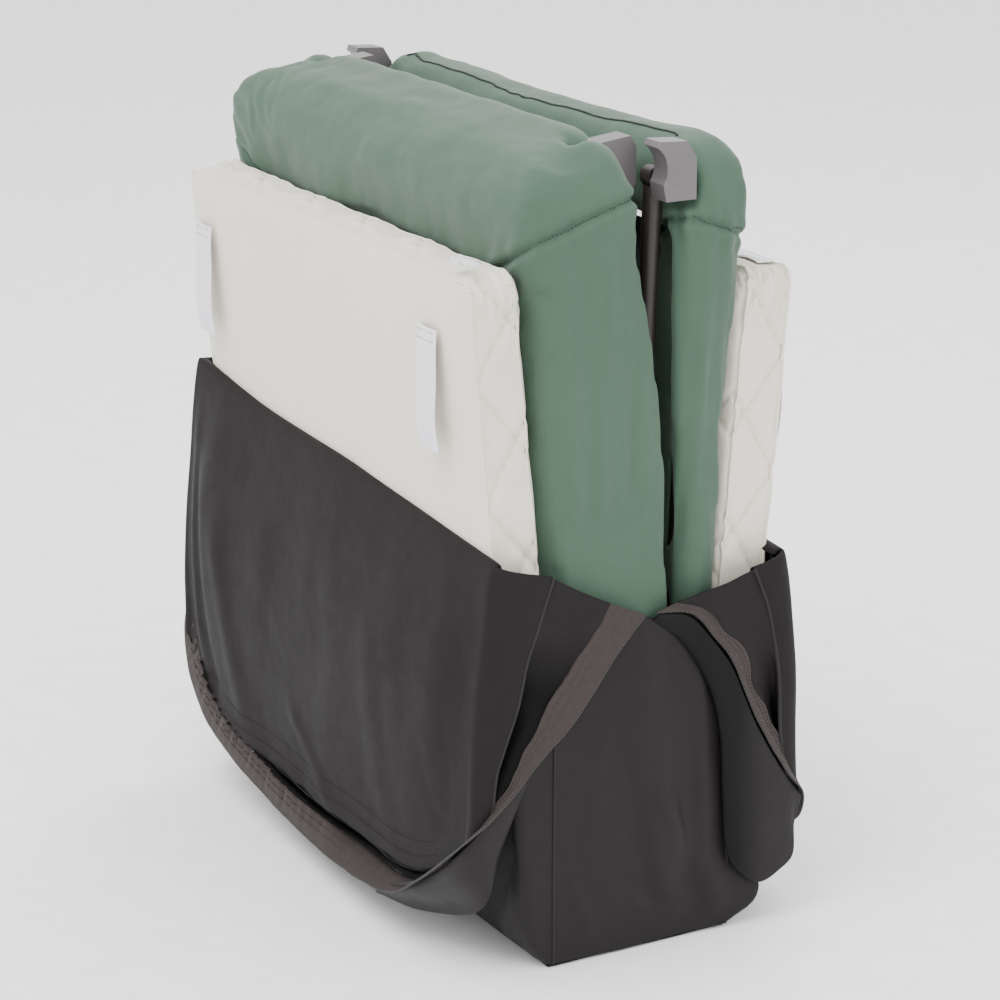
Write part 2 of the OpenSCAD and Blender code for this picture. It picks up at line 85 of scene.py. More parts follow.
area_light("key", 20, 58, 3.2, 2.2, 95)
area_light("fill", 105, 25, 3.6, 2.6, 34)
area_light("rim", 215, 50, 3.6, 2.0, 50)
world = bpy.data.worlds.new("studio")
world.use_nodes = True
world.node_tree.nodes["Background"].inputs["Color"].default_value = (1.0, 1.0, 1.0, 1.0)
world.node_tree.nodes["Background"].inputs["Strength"].default_value = 1.95
scene.world = world


# ---- materials
def linear(r, g, b):
    """Scene-linear colour of an 8-bit sRGB colour."""
    def one(c):
        c /= 255
        return c / 12.92 if c < 0.04045 else ((c + 0.055) / 1.055) ** 2.4
    return (one(r), one(g), one(b), 1.0)


class Shader:
    """A small helper that adds nodes to one material and joins them."""

    def __init__(self, name):
        self.material = bpy.data.materials.new(name)
        self.material.use_nodes = True
        self.tree = self.material.node_tree
        self.bsdf = self.tree.nodes["Principled BSDF"]
        self.coords = self.add("ShaderNodeTexCoord").outputs["Object"]

    def add(self, kind, settings=(), **inputs):
        node = self.tree.nodes.new(kind)
        for key, value in dict(settings).items():
            setattr(node, key, value)
        for key, value in inputs.items():
            self.put(node, key, value)
        return node

    def put(self, node, socket, value):
        if isinstance(value, bpy.types.NodeSocket):
            self.tree.links.new(value, node.inputs[socket])
        else:
            node.inputs[socket].default_value = value

    def maths(self, operation, a, b=0.0, clamp=False):
        node = self.add("ShaderNodeMath", {"operation": operation, "use_clamp": clamp})
        self.put(node, 0, a)
        self.put(node, 1, b)
        return node.outputs[0]

    def mix(self, factor, a, b, blend="MIX"):
        node = self.add("ShaderNodeMix", {"data_type": "RGBA", "blend_type": blend})
        self.put(node, 0, factor)
        self.put(node, 6, a)
        self.put(node, 7, b)
        return node.outputs[2]

    def noise(self, scale, detail=3.0):
        return self.add("ShaderNodeTexNoise", Vector=self.coords, Scale=scale, Detail=detail).outputs["Fac"]

    def look(self, **inputs):
        """Sets sockets of the surface itself."""
        for key, value in inputs.items():
            self.put(self.bsdf, key.replace("_", " "), value)


def threads(shader, pitch, twill):
    """Height of a woven surface: crossing threads, with a diagonal step for a twill."""
    split = shader.add("ShaderNodeSeparateXYZ")
    shader.put(split, 0, shader.coords)
    x, y, z = split.outputs
    across = shader.maths("ADD", x, shader.maths("MULTIPLY", y, 0.83))
    up = shader.maths("ADD", z, shader.maths("MULTIPLY", y, 0.37))
    turn = 2 * math.pi / pitch
    warp = shader.maths("SINE", shader.maths("MULTIPLY", across, turn))
    weft = shader.maths("SINE", shader.maths("MULTIPLY", up, turn))
    plain = shader.maths("MULTIPLY", warp, weft)
    slant = shader.maths("SINE", shader.maths("MULTIPLY", shader.maths("ADD", across, up), turn * 0.5))
    return shader.maths("ADD", shader.maths("MULTIPLY", plain, 1 - twill),
                        shader.maths("MULTIPLY", slant, twill))


def cloth(name, colour, dark, light, rough, pitch=0.0011, twill=0.5, sheen=0.25, weave=0.25,
          crumple=0.25, crumple_scale=26.0, gloss=0.3, deep=None):
    """A woven fabric: thread relief, fine crumples, uneven dye and paler worn high spots; with deep, painted
    shade darkens it to near black along one axis.
    """
    s = Shader(name)
    fine = s.noise(60.0, 4.0)
    relief = threads(s, pitch, twill)
    tone = s.mix(s.noise(5.0), linear(*dark), linear(*light))
    tone = s.mix(0.55, tone, linear(*colour))
    tone = s.mix(s.maths("MULTIPLY", fine, 0.22), tone, linear(*dark))
    shade = s.maths("ADD", s.maths("MULTIPLY", relief, 0.06), 0.97)
    grey = s.add("ShaderNodeCombineColor", Red=shade, Green=shade, Blue=shade).outputs[0]
    tone = s.mix(1.0, tone, grey, "MULTIPLY")
    edge = s.add("ShaderNodeNewGeometry").outputs["Pointiness"]
    worn = s.maths("MULTIPLY", s.maths("SUBTRACT", edge, 0.52), 5.0, clamp=True)
    tone = s.mix(s.maths("MULTIPLY", worn, 0.35), tone, linear(*light))
    if deep:
        # Painted shade: darker by its place on the object, for the shade deep in a fold or slot: the axis,
        # where it is near black, where it is not
        axis, shade_black_at, shade_clear_at = deep
        split = s.add("ShaderNodeSeparateXYZ")
        s.put(split, 0, s.coords)
        run = s.maths("SUBTRACT", split.outputs[axis], shade_black_at)
        run = s.maths("MULTIPLY", run, 1.0 / (shade_clear_at - shade_black_at), clamp=True)
        tone = s.mix(run, linear(9, 8, 9), tone)
    low = s.add("ShaderNodeBump", Strength=crumple, Distance=0.004, Height=s.noise(crumple_scale))
    high = s.add("ShaderNodeBump", Strength=weave, Distance=0.0004, Height=relief, Normal=low.outputs[0])
    s.look(Base_Color=tone, Roughness=s.maths("ADD", s.maths("MULTIPLY", fine, 0.14), rough - 0.07),
           Sheen_Weight=sheen, Sheen_Roughness=0.45, Specular_IOR_Level=gloss, Normal=high.outputs[0])
    return s.material


def ribbed(name, colour, shadow, pitch, rough=0.7):
    """Woven tape or webbing: close ribs with a slightly darker ground between them."""
    s = Shader(name)
    relief = threads(s, pitch, 0.8)
    fine = s.noise(150.0)
    amount = s.maths("ADD", s.maths("MULTIPLY", relief, 0.25), s.maths("MULTIPLY", fine, 0.5), clamp=True)
    ribs = s.add("ShaderNodeBump", Strength=0.4, Distance=0.0006, Height=relief)
    s.look(Base_Color=s.mix(amount, linear(*colour), linear(*shadow)),
           Roughness=s.maths("ADD", s.maths("MULTIPLY", fine, 0.2), rough - 0.1),
           Sheen_Weight=0.03, Specular_IOR_Level=0.2, Normal=ribs.outputs[0])
    return s.material


def hard(name, colour, rough, metal=0.0, grain=320.0, bump=0.06, worn=(200, 200, 205)):
    """Moulded plastic, painted or bare metal, rubber or board, with fine grain and worn edges."""
    s = Shader(name)
    smudge = s.noise(22.0, 4.0)
    edge = s.add("ShaderNodeNewGeometry").outputs["Pointiness"]
    wear = s.maths("MULTIPLY", s.maths("SUBTRACT", edge, 0.53), 6.0, clamp=True)
    tone = s.mix(s.maths("MULTIPLY", smudge, 0.3), linear(*colour), linear(*[c * 0.75 for c in colour]))
    tone = s.mix(s.maths("MULTIPLY", wear, 0.6), tone, linear(*worn))
    relief = s.add("ShaderNodeBump", Strength=bump, Distance=0.0005, Height=s.noise(grain))
    s.look(Base_Color=tone, Metallic=metal, Normal=relief.outputs[0],
           Roughness=s.maths("ADD", s.maths("MULTIPLY", smudge, 0.2), rough - 0.1))
    return s.material


GREEN = cloth("green_sleeve_fabric", (61, 84, 68), (53, 75, 60), (74, 98, 81), 0.62,
              pitch=0.0012, twill=0.65, sheen=0.12, weave=0.3, crumple=0.22, gloss=0.2)
CHARCOAL = cloth("charcoal_bag_nylon", (30, 27, 28), (22, 20, 21), (38, 35, 36), 0.5,
                 pitch=0.0009, twill=0.3, sheen=0.0, weave=0.2, crumple=0.3, crumple_scale=20.0, gloss=0.12)
LINED = dict(pitch=0.0009, twill=0.2, sheen=0.0, weave=0.2, crumple=0.3)
LINING = cloth("charcoal_bag_lining", (29, 26, 27), (22, 20, 21), (37, 34, 35), 0.6, gloss=0.08, **LINED)
LINING_TONES = (30, 27, 28), (23, 21, 22), (38, 35, 36)
# Painted shade: the two gusset linings go near black low down, and the rear corner fold's lining near black
# where it lies inside, between the end wall and the zip band, as the shade in the hood's slots and cavity.
SLOT_FRONT_PAINTED_SHADE = cloth("front_gusset_lining_painted_shade", *LINING_TONES, 0.6, gloss=0.08, deep=(2, 0.285, 0.340), **LINED)
SLOT_REAR_PAINTED_SHADE = cloth("rear_gusset_lining_painted_shade", *LINING_TONES, 0.6, gloss=0.08, deep=(2, 0.19, 0.25), **LINED)
CORNER_FRONT = cloth("front_corner_lining", *LINING_TONES, 0.5, gloss=0.14, **LINED)
CORNER_REAR_PAINTED_SHADE = cloth("rear_corner_lining_painted_shade", *LINING_TONES, 0.5, gloss=0.12, deep=(1, 0.102, 0.132), **LINED)
CREAM = cloth("mattress_underside_fabric", (240, 225, 209), (233, 217, 200), (246, 234, 221), 0.7,
              pitch=0.0008, twill=0.1, sheen=0.2, weave=0.15, crumple=0.15, crumple_scale=18.0)
QUILT = cloth("quilted_mattress_fabric", (226, 219, 203), (211, 204, 187), (240, 234, 221), 0.78,
              pitch=0.0010, twill=0.2, sheen=0.3, weave=0.3, crumple=0.3, crumple_scale=40.0)
NETTING = cloth("folded_net_fabric", (88, 110, 96), (70, 90, 78), (110, 132, 118), 0.8,
                pitch=0.0024, twill=0.0, sheen=0.2, weave=0.9, crumple=0.3)
FLOOR_CLOTH = cloth("folded_floor_fabric", (62, 75, 66), (52, 64, 56), (76, 90, 80), 0.7,
                    pitch=0.0012, twill=0.4, sheen=0.1, weave=0.3)
BROWN_TAPE = ribbed("bag_zip_tape", (52, 45, 43), (37, 32, 31), 0.0016)
WHITE_TAPE = ribbed("mattress_zip_tape", (252, 252, 255), (236, 237, 244), 0.0012)
WEBBING = ribbed("strap_webbing", (230, 228, 236), (208, 206, 216), 0.0018)
THREAD_DARK = ribbed("dark_seam_thread", (36, 33, 33), (26, 24, 25), 0.0008)
THREAD_GREEN = ribbed("green_seam_thread", (26, 38, 30), (19, 28, 22), 0.0008)
# Real stitch thread, greyed below its own cream as painted shade: its rows draw the shadow lines along the
# mattress zip tape, and the same grey is used for the strap bar tacks.
THREAD_CREAM_GREYED_AS_SHADE = ribbed("cream_seam_thread_greyed_as_shade", (170, 165, 154), (150, 145, 135), 0.0008)
PIPING = ribbed("bag_piping_cord", (36, 33, 34), (27, 24, 25), 0.0014)
COIL_DARK = hard("dark_zip_coil", (26, 24, 25), 0.5, worn=(60, 58, 58))
COIL_WHITE = hard("white_zip_coil", (196, 197, 204), 0.4)
FITTING = hard("grey_moulded_fitting", (52, 51, 55), 0.36, grain=420, worn=(120, 114, 114))
# The tube's colour is its own dark brown paint, made darker still as painted shade, the near black it shows
# down in the gap between the frame covers.
TUBE_DARKENED_AS_SHADE = hard("painted_steel_tube_darkened_as_shade", (35, 30, 28), 0.42, metal=0.3, worn=(54, 48, 46))
PIN = hard("bright_steel_pin", (84, 81, 80), 0.34, metal=0.6, worn=(104, 101, 100))
RUBBER = hard("black_rubber_foot", (34, 34, 35), 0.8, grain=260, bump=0.2, worn=(70, 70, 70))
BOARD = hard("stiffener_board", (58, 56, 56), 0.8, grain=140, bump=0.2, worn=(90, 88, 86))
ZIP_WHITE = hard("white_zip_slider", (232, 232, 236), 0.35)
ZIP_METAL = hard("dark_zip_slider", (92, 88, 86), 0.3, metal=0.7)
STUDIO = hard("pale_studio_floor", (253, 253, 253), 0.9, grain=60, bump=0.01, worn=(253, 253, 253))


# ---- mesh helpers
def make(name, verts, faces, material):
    mesh = bpy.data.meshes.new(name)
    mesh.from_pydata([tuple(map(float, v)) for v in verts], [], [tuple(map(int, f)) for f in faces])
    bm = bmesh.new()
    bm.from_mesh(mesh)
    bmesh.ops.recalc_face_normals(bm, faces=bm.faces)
    bm.to_mesh(mesh)
    bm.free()
    obj = bpy.data.objects.new(name, mesh)
    scene.collection.objects.link(obj)
    obj.data.materials.append(material)
    for polygon in mesh.polygons:
        polygon.use_smooth = True
    return obj


def spline(points, count):
    """count points, evenly spaced by length, on a Catmull-Rom curve through the given points."""
    p = np.array(points, float)
    p = np.vstack([2 * p[0] - p[1], p, 2 * p[-1] - p[-2]])
    fine = []
    for i in range(1, len(p) - 2):
        t = np.linspace(0, 1, 24, endpoint=False)[:, None]
        a, b, c, d = p[i - 1], p[i], p[i + 1], p[i + 2]
        fine.append(0.5 * (2 * b + (c - a) * t + (2 * a - 5 * b + 4 * c - d) * t ** 2
                           + (3 * b - a - 3 * c + d) * t ** 3))
    fine = np.vstack(fine + [p[-2][None]])
    length = np.concatenate([[0], np.cumsum(np.linalg.norm(np.diff(fine, axis=0), axis=1))])
    at = np.linspace(0, length[-1], count)
    return np.stack([np.interp(at, length, fine[:, k]) for k in range(fine.shape[1])], 1)


def grid_faces(nu, nv, closed=False):
    """Quads of a grid of nu by nv points; closed joins the last row to the first."""
    faces = []
    for i in range(nu if closed else nu - 1):
        for j in range(nv - 1):
            a, b = i * nv + j, ((i + 1) % nu) * nv + j
            faces.append((a, b, b + 1, a + 1))
    return faces


def rumple(p, scale, seed, stretch=(1, 1, 1)):
    """Smooth pseudo-random height from -1 to 1 at each point."""
    k = np.array(stretch) * scale
    return np.array([noise.fractal(Vector(q * k) + Vector((seed * 7.3, seed * 3.1, seed * 1.7)),
                                   0.8, 2.0, 3) for q in p])


def sheet_from(name, points, material, thick, closed=False, subdivide=1):
    """A sheet through a grid of points, made thick enough to be cloth."""
    nu, nv = points.shape[:2]
    obj = make(name, points.reshape(-1, 3), grid_faces(nu, nv, closed), material)
    solid = obj.modifiers.new("thickness", "SOLIDIFY")
    solid.thickness, solid.offset = thick, 0
    if subdivide:
        smooth = obj.modifiers.new("smooth", "SUBSURF")
        smooth.levels = smooth.render_levels = subdivide
    return obj


def tube_along(name, path, radius, material, sides=8):
    """A round cord along a path of points."""
    p = np.array(path, float)
    tangent = np.gradient(p, axis=0)
    tangent /= np.linalg.norm(tangent, axis=1)[:, None] + 1e-12
    side = np.cross(tangent, [0.31, 0.43, 0.85])
    side /= np.linalg.norm(side, axis=1)[:, None]
    other = np.cross(tangent, side)
    angle = np.linspace(0, 2 * math.pi, sides, endpoint=False)
    ring = (p[:, None] + radius * (np.cos(angle)[None, :, None] * side[:, None]
                                   + np.sin(angle)[None, :, None] * other[:, None]))
    count = len(p)
    faces = [(i * sides + k, i * sides + (k + 1) % sides, (i + 1) * sides + (k + 1) % sides,
              (i + 1) * sides + k) for i in range(count - 1) for k in range(sides)]
    faces += [tuple(range(sides)), tuple(range((count - 1) * sides, count * sides))]
    return make(name, ring.reshape(-1, 3), faces, material)


def stitches(name, path, material, pitch=0.0042, share=0.62, radius=0.00045, lift=None):
    """A row of separate sewn stitches along a path, each a small rounded bar."""
    p = np.array(path, float)
    if lift is not None:
        p = p + np.array(lift)
    length = np.concatenate([[0], np.cumsum(np.linalg.norm(np.diff(p, axis=0), axis=1))])
    verts, faces = [], []
    for n in range(int(length[-1] / pitch)):
        ends = [np.array([np.interp(n * pitch + s, length, p[:, k]) for k in range(3)])
                for s in (0.0, pitch * share * 0.5, pitch * share)]
        run = ends[2] - ends[0]
        run /= np.linalg.norm(run) + 1e-12
        side = np.cross(run, [0.37, 0.29, 0.88])
        side /= np.linalg.norm(side)
        other = np.cross(run, side)
        base = len(verts)
        for centre, r in zip(ends, (0.35, 1.0, 0.35)):
            verts += [centre + radius * r * (math.cos(a) * side + math.sin(a) * other)
                      for a in (k * math.pi / 3 for k in range(6))]
        for row in range(2):
            faces += [(base + row * 6 + k, base + row * 6 + (k + 1) % 6,
                       base + row * 6 + 6 + (k + 1) % 6, base + row * 6 + 6 + k) for k in range(6)]
        faces += [tuple(base + k for k in range(6)), tuple(base + 12 + k for k in range(6))]
    return make(name, verts, faces, material)


def tree_of(obj):
    graph = bpy.context.evaluated_depsgraph_get()
    return BVHTree.FromObject(obj, graph)


def lay_on(tree, path, lift):
    """The path moved onto a surface, lift above it."""
    laid = []
    for q in path:
        hit, normal = tree.find_nearest(Vector(q))[:2]
        laid.append(np.array(hit + normal * lift))
    return np.array(laid)


def positions(obj):
    co = np.zeros(len(obj.data.vertices) * 3)
    obj.data.vertices.foreach_get("co", co)
    return co.reshape(-1, 3)


def normals(obj):
    n = np.zeros(len(obj.data.vertices) * 3)
    obj.data.vertices.foreach_get("normal", n)
    return n.reshape(-1, 3)


def put(obj, co):
    obj.data.vertices.foreach_set("co", np.asarray(co, float).ravel())
    obj.data.update()


def apply(obj):
    """Replaces the object's mesh by its modified one."""
    graph = bpy.context.evaluated_depsgraph_get()
    mesh = bpy.data.meshes.new_from_object(obj.evaluated_get(graph), depsgraph=graph)
    obj.modifiers.clear()
    obj.data = mesh
    for polygon in mesh.polygons:
        polygon.use_smooth = True


def relax(obj, factor, times):
    smooth = obj.modifiers.new("relax", "SMOOTH")
    smooth.factor, smooth.iterations = factor, times
    apply(obj)


def remesh(obj, voxel):
    modifier = obj.modifiers.new("remesh", "REMESH")
    modifier.mode, modifier.voxel_size = "VOXEL", voxel
    apply(obj)


def inflate(obj, cap, pressure=4.0, stiff=15.0, frames=20):
    """Cloth under inner pressure with no gravity; cap is the furthest each point may move."""
    start = positions(obj)
    modifier = obj.modifiers.new("cloth", "CLOTH")
    modifier.settings.quality = 4
    modifier.settings.mass = 0.3
    modifier.settings.tension_stiffness = modifier.settings.compression_stiffness = stiff
    modifier.settings.bending_stiffness = 0.6
    modifier.settings.use_pressure = True
    modifier.settings.uniform_pressure_force = pressure
    modifier.settings.effector_weights.gravity = 0
    modifier.point_cache.frame_start, modifier.point_cache.frame_end = 1, frames
    for f in range(1, frames + 1):
        scene.frame_set(f)
    apply(obj)
    scene.frame_set(1)
    moved = positions(obj) - start
    size = np.linalg.norm(moved, axis=1)[:, None] + 1e-12
    cap = np.asarray(cap).reshape(-1, 1)
    put(obj, start + moved / size * np.minimum(size, cap))


def refine(obj):
    modifier = obj.modifiers.new("refine", "SUBSURF")
    modifier.levels = modifier.render_levels = 1
    apply(obj)


def joined_copy(name, members, material):
    """One mesh made of copies of several CAD nodes."""
    verts, faces = [], []
    for member in members:
        base = len(verts)
        verts += [v.co.copy() for v in nodes[member].data.vertices]
        faces += [tuple(base + i for i in f.vertices) for f in nodes[member].data.polygons]
    obj = make(name, verts, faces, material)
    bm = bmesh.new()
    bm.from_mesh(obj.data)
    bmesh.ops.remove_doubles(bm, verts=bm.verts, dist=1e-5)
    bm.to_mesh(obj.data)
    bm.free()
    return obj


def bump(d, width):
    return np.exp(-(d / width) ** 2)


def step(a, b, x):
    t = np.clip((x - a) / (b - a), 0, 1)
    return t * t * (3 - 2 * t)


def belongs(obj, body, slot, *stands_for):
    """Says which body a piece moves with and hides the CAD nodes it stands for; slot, the material slot, is
    not used.
    """
    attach(obj, body)
    if stands_for:
        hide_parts(*stands_for)
    return obj


# ---- padded frame covers
HALF_W = 0.3175
VOXEL = 0.006


def sleeve_cover(name, side, roll, seam_points, body, stands_for):
    """The padded fabric over one end frame: top roll and two post sleeves, sewn at the mitres."""
    obj = joined_copy(name, stands_for, GREEN)
    remesh(obj, VOXEL)
    relax(obj, 0.5, 8)
    co = positions(obj)
    inner = (np.abs(co[:, 0]) < 0.30) & ((co[:, 1] - side * 0.01) * side < 0.055) & (co[:, 2] < 0.74)
    inflate(obj, np.where(inner, 0.0015, 0.0045), pressure=3.0)
    refine(obj)
    co, n = positions(obj), normals(obj)
    x, y, z = co.T
    post = step(0.74, 0.68, z)
    folds = rumple(co, 9.0, 3 + side, (1.0, 3.2, 0.35)) * 0.0042 * post
    dents = rumple(co, 14.0, 8 + side, (1.0, 1.0, 0.9)) * 0.0012
    crown = rumple(co, 6.0, 5 + side, (0.8, 2.4, 2.4)) * 0.0035 * (1 - post)
    corner = step(0.10, 0.02, np.abs(x + 0.275)) * step(0.66, 0.72, z)
    creases = np.sin((x * 0.6 + z) * 300 + rumple(co, 14, 2) * 5) * 0.0006 * corner
    lift = folds + dents + crown + creases
    if side < 0:
        # The front rail's padding is fuller behind its crest, over the corner fittings
        turn = np.degrees(np.arctan2(y - roll[0], z - roll[1]))
        lift += 0.020 * bump(turn - 40, 26) * step(0.318, 0.270, np.abs(x)) * step(0.69, 0.71, z)
    a, b, c = (np.array(q) for q in seam_points)
    plane = np.cross(b - a, c - a)
    plane /= np.linalg.norm(plane)
    for s in (1, -1):
        q = co * np.array([s, 1, 1])
        d = (q - a) @ plane
        near = step(0.20, 0.24, q[:, 0]) * step(0.62, 0.66, z)
        pucker = np.sin(y * 430 + q[:, 0] * 160) * 0.0009 * bump(np.abs(d) - 0.009, 0.008)
        lift += near * (pucker - 0.0046 * bump(d, 0.0034) + 0.0012 * bump(np.abs(d) - 0.008, 0.006))
    co = co + n * lift[:, None]
    in_bag = step(0.47, 0.42, co[:, 2])
    co[:, 0] -= np.sign(co[:, 0]) * np.maximum(np.abs(co[:, 0]) - HALF_W, 0) * in_bag
    put(obj, co)
    belongs(obj, body, "sleeve_fabric", *stands_for)
    tree = tree_of(obj)
    for s, end in ((1, "right"), (-1, "left")):
        route = spline([q * np.array([s, 1, 1]) for q in (a, (a + b) / 2, b, (b + c) / 2, c)], 60)
        seam = stitches(name + "_mitre_stitching_" + end, lay_on(tree, route, 0.0001), THREAD_GREEN)
        belongs(seam, body, "sleeve_fabric")
    return obj


FRONT_ROLL, REAR_ROLL = (-0.062, 0.724), (0.077, 0.7445)
sleeve_cover(
    "front_frame_padded_cover", -1, FRONT_ROLL,
    ((0.262, -0.121, 0.672), (HALF_W, -0.103, 0.706), (HALF_W, -0.006, 0.737)), "front_frame",
    ["front_top_sleeve", "front_left_post_sleeve", "front_right_post_sleeve"])
rear_cover = sleeve_cover(
    "rear_frame_padded_cover", 1, REAR_ROLL,
    ((0.262, 0.114, 0.672), (HALF_W, 0.108, 0.69), (HALF_W, 0.045, 0.712)), "rear_frame",
    ["rear_top_sleeve", "rear_left_post_sleeve", "rear_right_post_sleeve"])

rear_tree = tree_of(rear_cover)
ridge = spline([(x, 0.054 - 0.004 * math.cos(x * 9), 0.80) for x in np.linspace(-0.27, 0.27, 9)], 160)
ridge_seam = tube_along("rear_cover_top_piping", lay_on(rear_tree, ridge, 0.0001), 0.0012, THREAD_GREEN)
belongs(ridge_seam, "rear_frame", "sleeve_fabric")


# ---- mattress halves
MATTRESS_W, MATTRESS_T = 0.624, 0.060
CORNER_R, EDGE_R = 0.018, 0.007
BED_HEIGHT = {-1: 0.652, 1: 0.636}
LEAN = {-1: math.radians(5.33), 1: math.radians(4.51)}


def bed_placer(side):
    """Returns a function that puts mattress coordinates (x, depth outwards, height) in the frame."""
    lean = LEAN[side]
    y0, z0 = (-0.059, 0.036) if side < 0 else (0.0645, 0.026)

    def place(p):
        p = np.atleast_2d(np.asarray(p, float))
        x, out, up = p.T
        y = y0 + side * (out * math.cos(lean) + up * math.sin(lean))
        z = z0 - out * math.sin(lean) + up * math.cos(lean)
        return np.stack([x, y, z], 1)
    return place


def block(width, depth, height, corner, edge):
    """A rounded slab: its outline in x and height, with rolled edges through its depth."""
    outline = []
    for cx, cz, a0 in ((1, 0, -90), (1, 1, 0), (-1, 1, 90), (-1, 0, 180)):
        centre = np.array([cx * (width / 2 - corner), corner if cz == 0 else height - corner])
        for a in np.radians(np.linspace(a0, a0 + 90, 8)):
            outline.append((centre, np.array([math.cos(a), math.sin(a)])))
    verts = []
    for a in np.radians(np.linspace(0, 180, 13)):
        inset = edge * (1 - math.sin(a))
        depth_at = depth / 2 - (depth / 2 - edge + edge * abs(math.cos(a))) * (1 if a < math.pi / 2 else -1)
        verts += [(c[0] + (corner - inset) * d[0], depth_at, c[1] + (corner - inset) * d[1])
                  for c, d in outline]
    n = len(outline)
    faces = [(r * n + k, r * n + (k + 1) % n, (r + 1) * n + (k + 1) % n, (r + 1) * n + k)
             for r in range(12) for k in range(n)]
    faces += [tuple(range(n)), tuple(range(12 * n, 13 * n))]
    return np.array(verts), faces


def mattress(body, side):
    """One padded half: a slab remeshed, puffed out, then creased, quilted and leant into place."""
    place, height = bed_placer(side), BED_HEIGHT[side]
    verts, faces = block(MATTRESS_W - 0.008, MATTRESS_T - 0.006, height - 0.008, CORNER_R, EDGE_R)
    verts += np.array([0, 0.003, 0.004])
    obj = make(body + "_pad", verts, faces, QUILT)
    remesh(obj, VOXEL)
    co = positions(obj)
    flat_side = step(0.050, 0.056, co[:, 1])
    inflate(obj, 0.0065 - 0.0058 * flat_side, pressure=4.0)
    refine(obj)
    co, n = positions(obj), normals(obj)
    x, out, up = co.T
    boxing = 1 - np.clip(np.abs(n[:, 1]) * 1.35 - 0.25, 0, 1)
    top_band = step(height - 0.03, height - 0.01, up) * step(0.30, 0.27, x)
    boxing = boxing * (1 - step(0.030, 0.035, out) * np.maximum(top_band, step(-0.29, -0.305, x)))
    run = np.where(np.abs(n[:, 0]) > np.abs(n[:, 2]), up, x)
    lift = rumple(co, 16, 11 + side) * 0.0014 * (0.35 + boxing)
    for slope, shift in ((1.5, 0.0), (-1.5, 0.055)):
        d = ((run + slope * out + shift) % 0.115) - 0.0575
        lift -= boxing * 0.0030 * bump(d, 0.0030)
        lift += boxing * 0.0016 * bump(np.abs(d) - 0.02, 0.018)
    gather = step(0.10, 0.02, height - up) * step(0.24, 0.30, np.abs(x)) * boxing
    lift += gather * 0.0022 * np.sin(out * 620 + rumple(co, 30, 5) * 2.5)
    for depth_at, deep in ((0.0535, 0.0022), (0.006, 0.0020)):
        lift -= deep * bump(out - depth_at, 0.0022) * boxing
    inner = step(0.012, 0.004, out)
    for slope in (1.0, -1.0):
        d = ((x + slope * up) % 0.14) - 0.07
        lift -= inner * 0.0022 * bump(d, 0.004)
    lift += step(0.052, 0.058, out) * (rumple(co, 5, 21 + side) * 0.0009)
    put(obj, place(co + n * lift[:, None]))
    belongs(obj, body, "mattress_fabric", *[body + layer for layer in ("_cover", "_core", "_board")])
    obj.data.materials.append(CREAM)
    local_out = Vector((0, side * math.cos(LEAN[side]), -math.sin(LEAN[side])))
    for polygon in obj.data.polygons:
        if polygon.normal.dot(local_out) > 0.86:
            polygon.material_index = 1
    return obj, place


front_pad, front_place = mattress("front_mattress", -1)
rear_pad, rear_place = mattress("rear_mattress", 1)


def edge_loop(height, out, inset):
    """The mattress outline at a depth, from the lower left corner up, over and down."""
    w, r = MATTRESS_W / 2 - inset, CORNER_R - inset * 0.5
    pts = [(-w, out, 0.05)]
    pts += [(-w + r - r * math.cos(a), out, height - inset - r + r * math.sin(a))
            for a in np.radians(np.linspace(0, 90, 5))]
    pts += [(w - r + r * math.sin(a), out, height - inset - r + r * math.cos(a))
            for a in np.radians(np.linspace(0, 90, 5))]
    pts += [(w, out, 0.05)]
    return pts


def dress_mattress(body, side, pad, place):
    """Edge piping, stitched seams and the long zip round two sides of a mattress half."""
    tree, height = tree_of(pad), BED_HEIGHT[side]
    for label, out, inset, radius in (("outer", 0.0585, 0.0035, 0.0016), ("inner", 0.004, 0.003, 0.0014)):
        route = lay_on(tree, place(spline(edge_loop(height, out, inset), 420)), 0.0002)
        belongs(tube_along(body + "_" + label + "_piping", route, radius, QUILT, 7), body, "mattress_fabric")
    half = MATTRESS_W / 2
    middle = spline([(-half, 0.044, 0.10), (-half, 0.044, height - 0.03),
                     (-half + 0.012, 0.044, height - 0.008), (-half + 0.03, 0.044, height),
                     (half - 0.032, 0.044, height)], 520)
    rows = []
    for shift in np.linspace(-0.0085, 0.0085, 7):
        rows.append(lay_on(tree, place(middle + np.array([0, shift, 0])), 0.0030))
    grid = np.stack(rows, 1)
    waves = 0.0005 * np.sin(np.linspace(0, 190, len(middle)))[:, None, None]
    grid = grid + waves * np.linspace(-1, 1, 7)[None, :, None] * np.array([0, 0, 1.0])
    tape = sheet_from(body + "_zip_tape", grid, WHITE_TAPE, 0.0014, subdivide=0)
    belongs(tape, body, "zip_tape", body + "_zip")
    for label, row, material, pitch, share, radius, lift in (
            ("coil", 3, COIL_WHITE, 0.0024, 0.8, 0.0011, 0.0004),
            ("stitching_a", 1, THREAD_CREAM_GREYED_AS_SHADE, 0.0036, 0.6, 0.0004, 0.0008),
            ("stitching_b", 5, THREAD_CREAM_GREYED_AS_SHADE, 0.0036, 0.6, 0.0004, 0.0008)):
        belongs(stitches(body + "_zip_" + label, grid[:, row], material, pitch, share, radius, (0, 0, lift)),
                body, "zip_tape")


dress_mattress("front_mattress", -1, front_pad, front_place)
dress_mattress("rear_mattress", 1, rear_pad, rear_place)

STRAP_W, STRAP_L = 0.038, 0.116


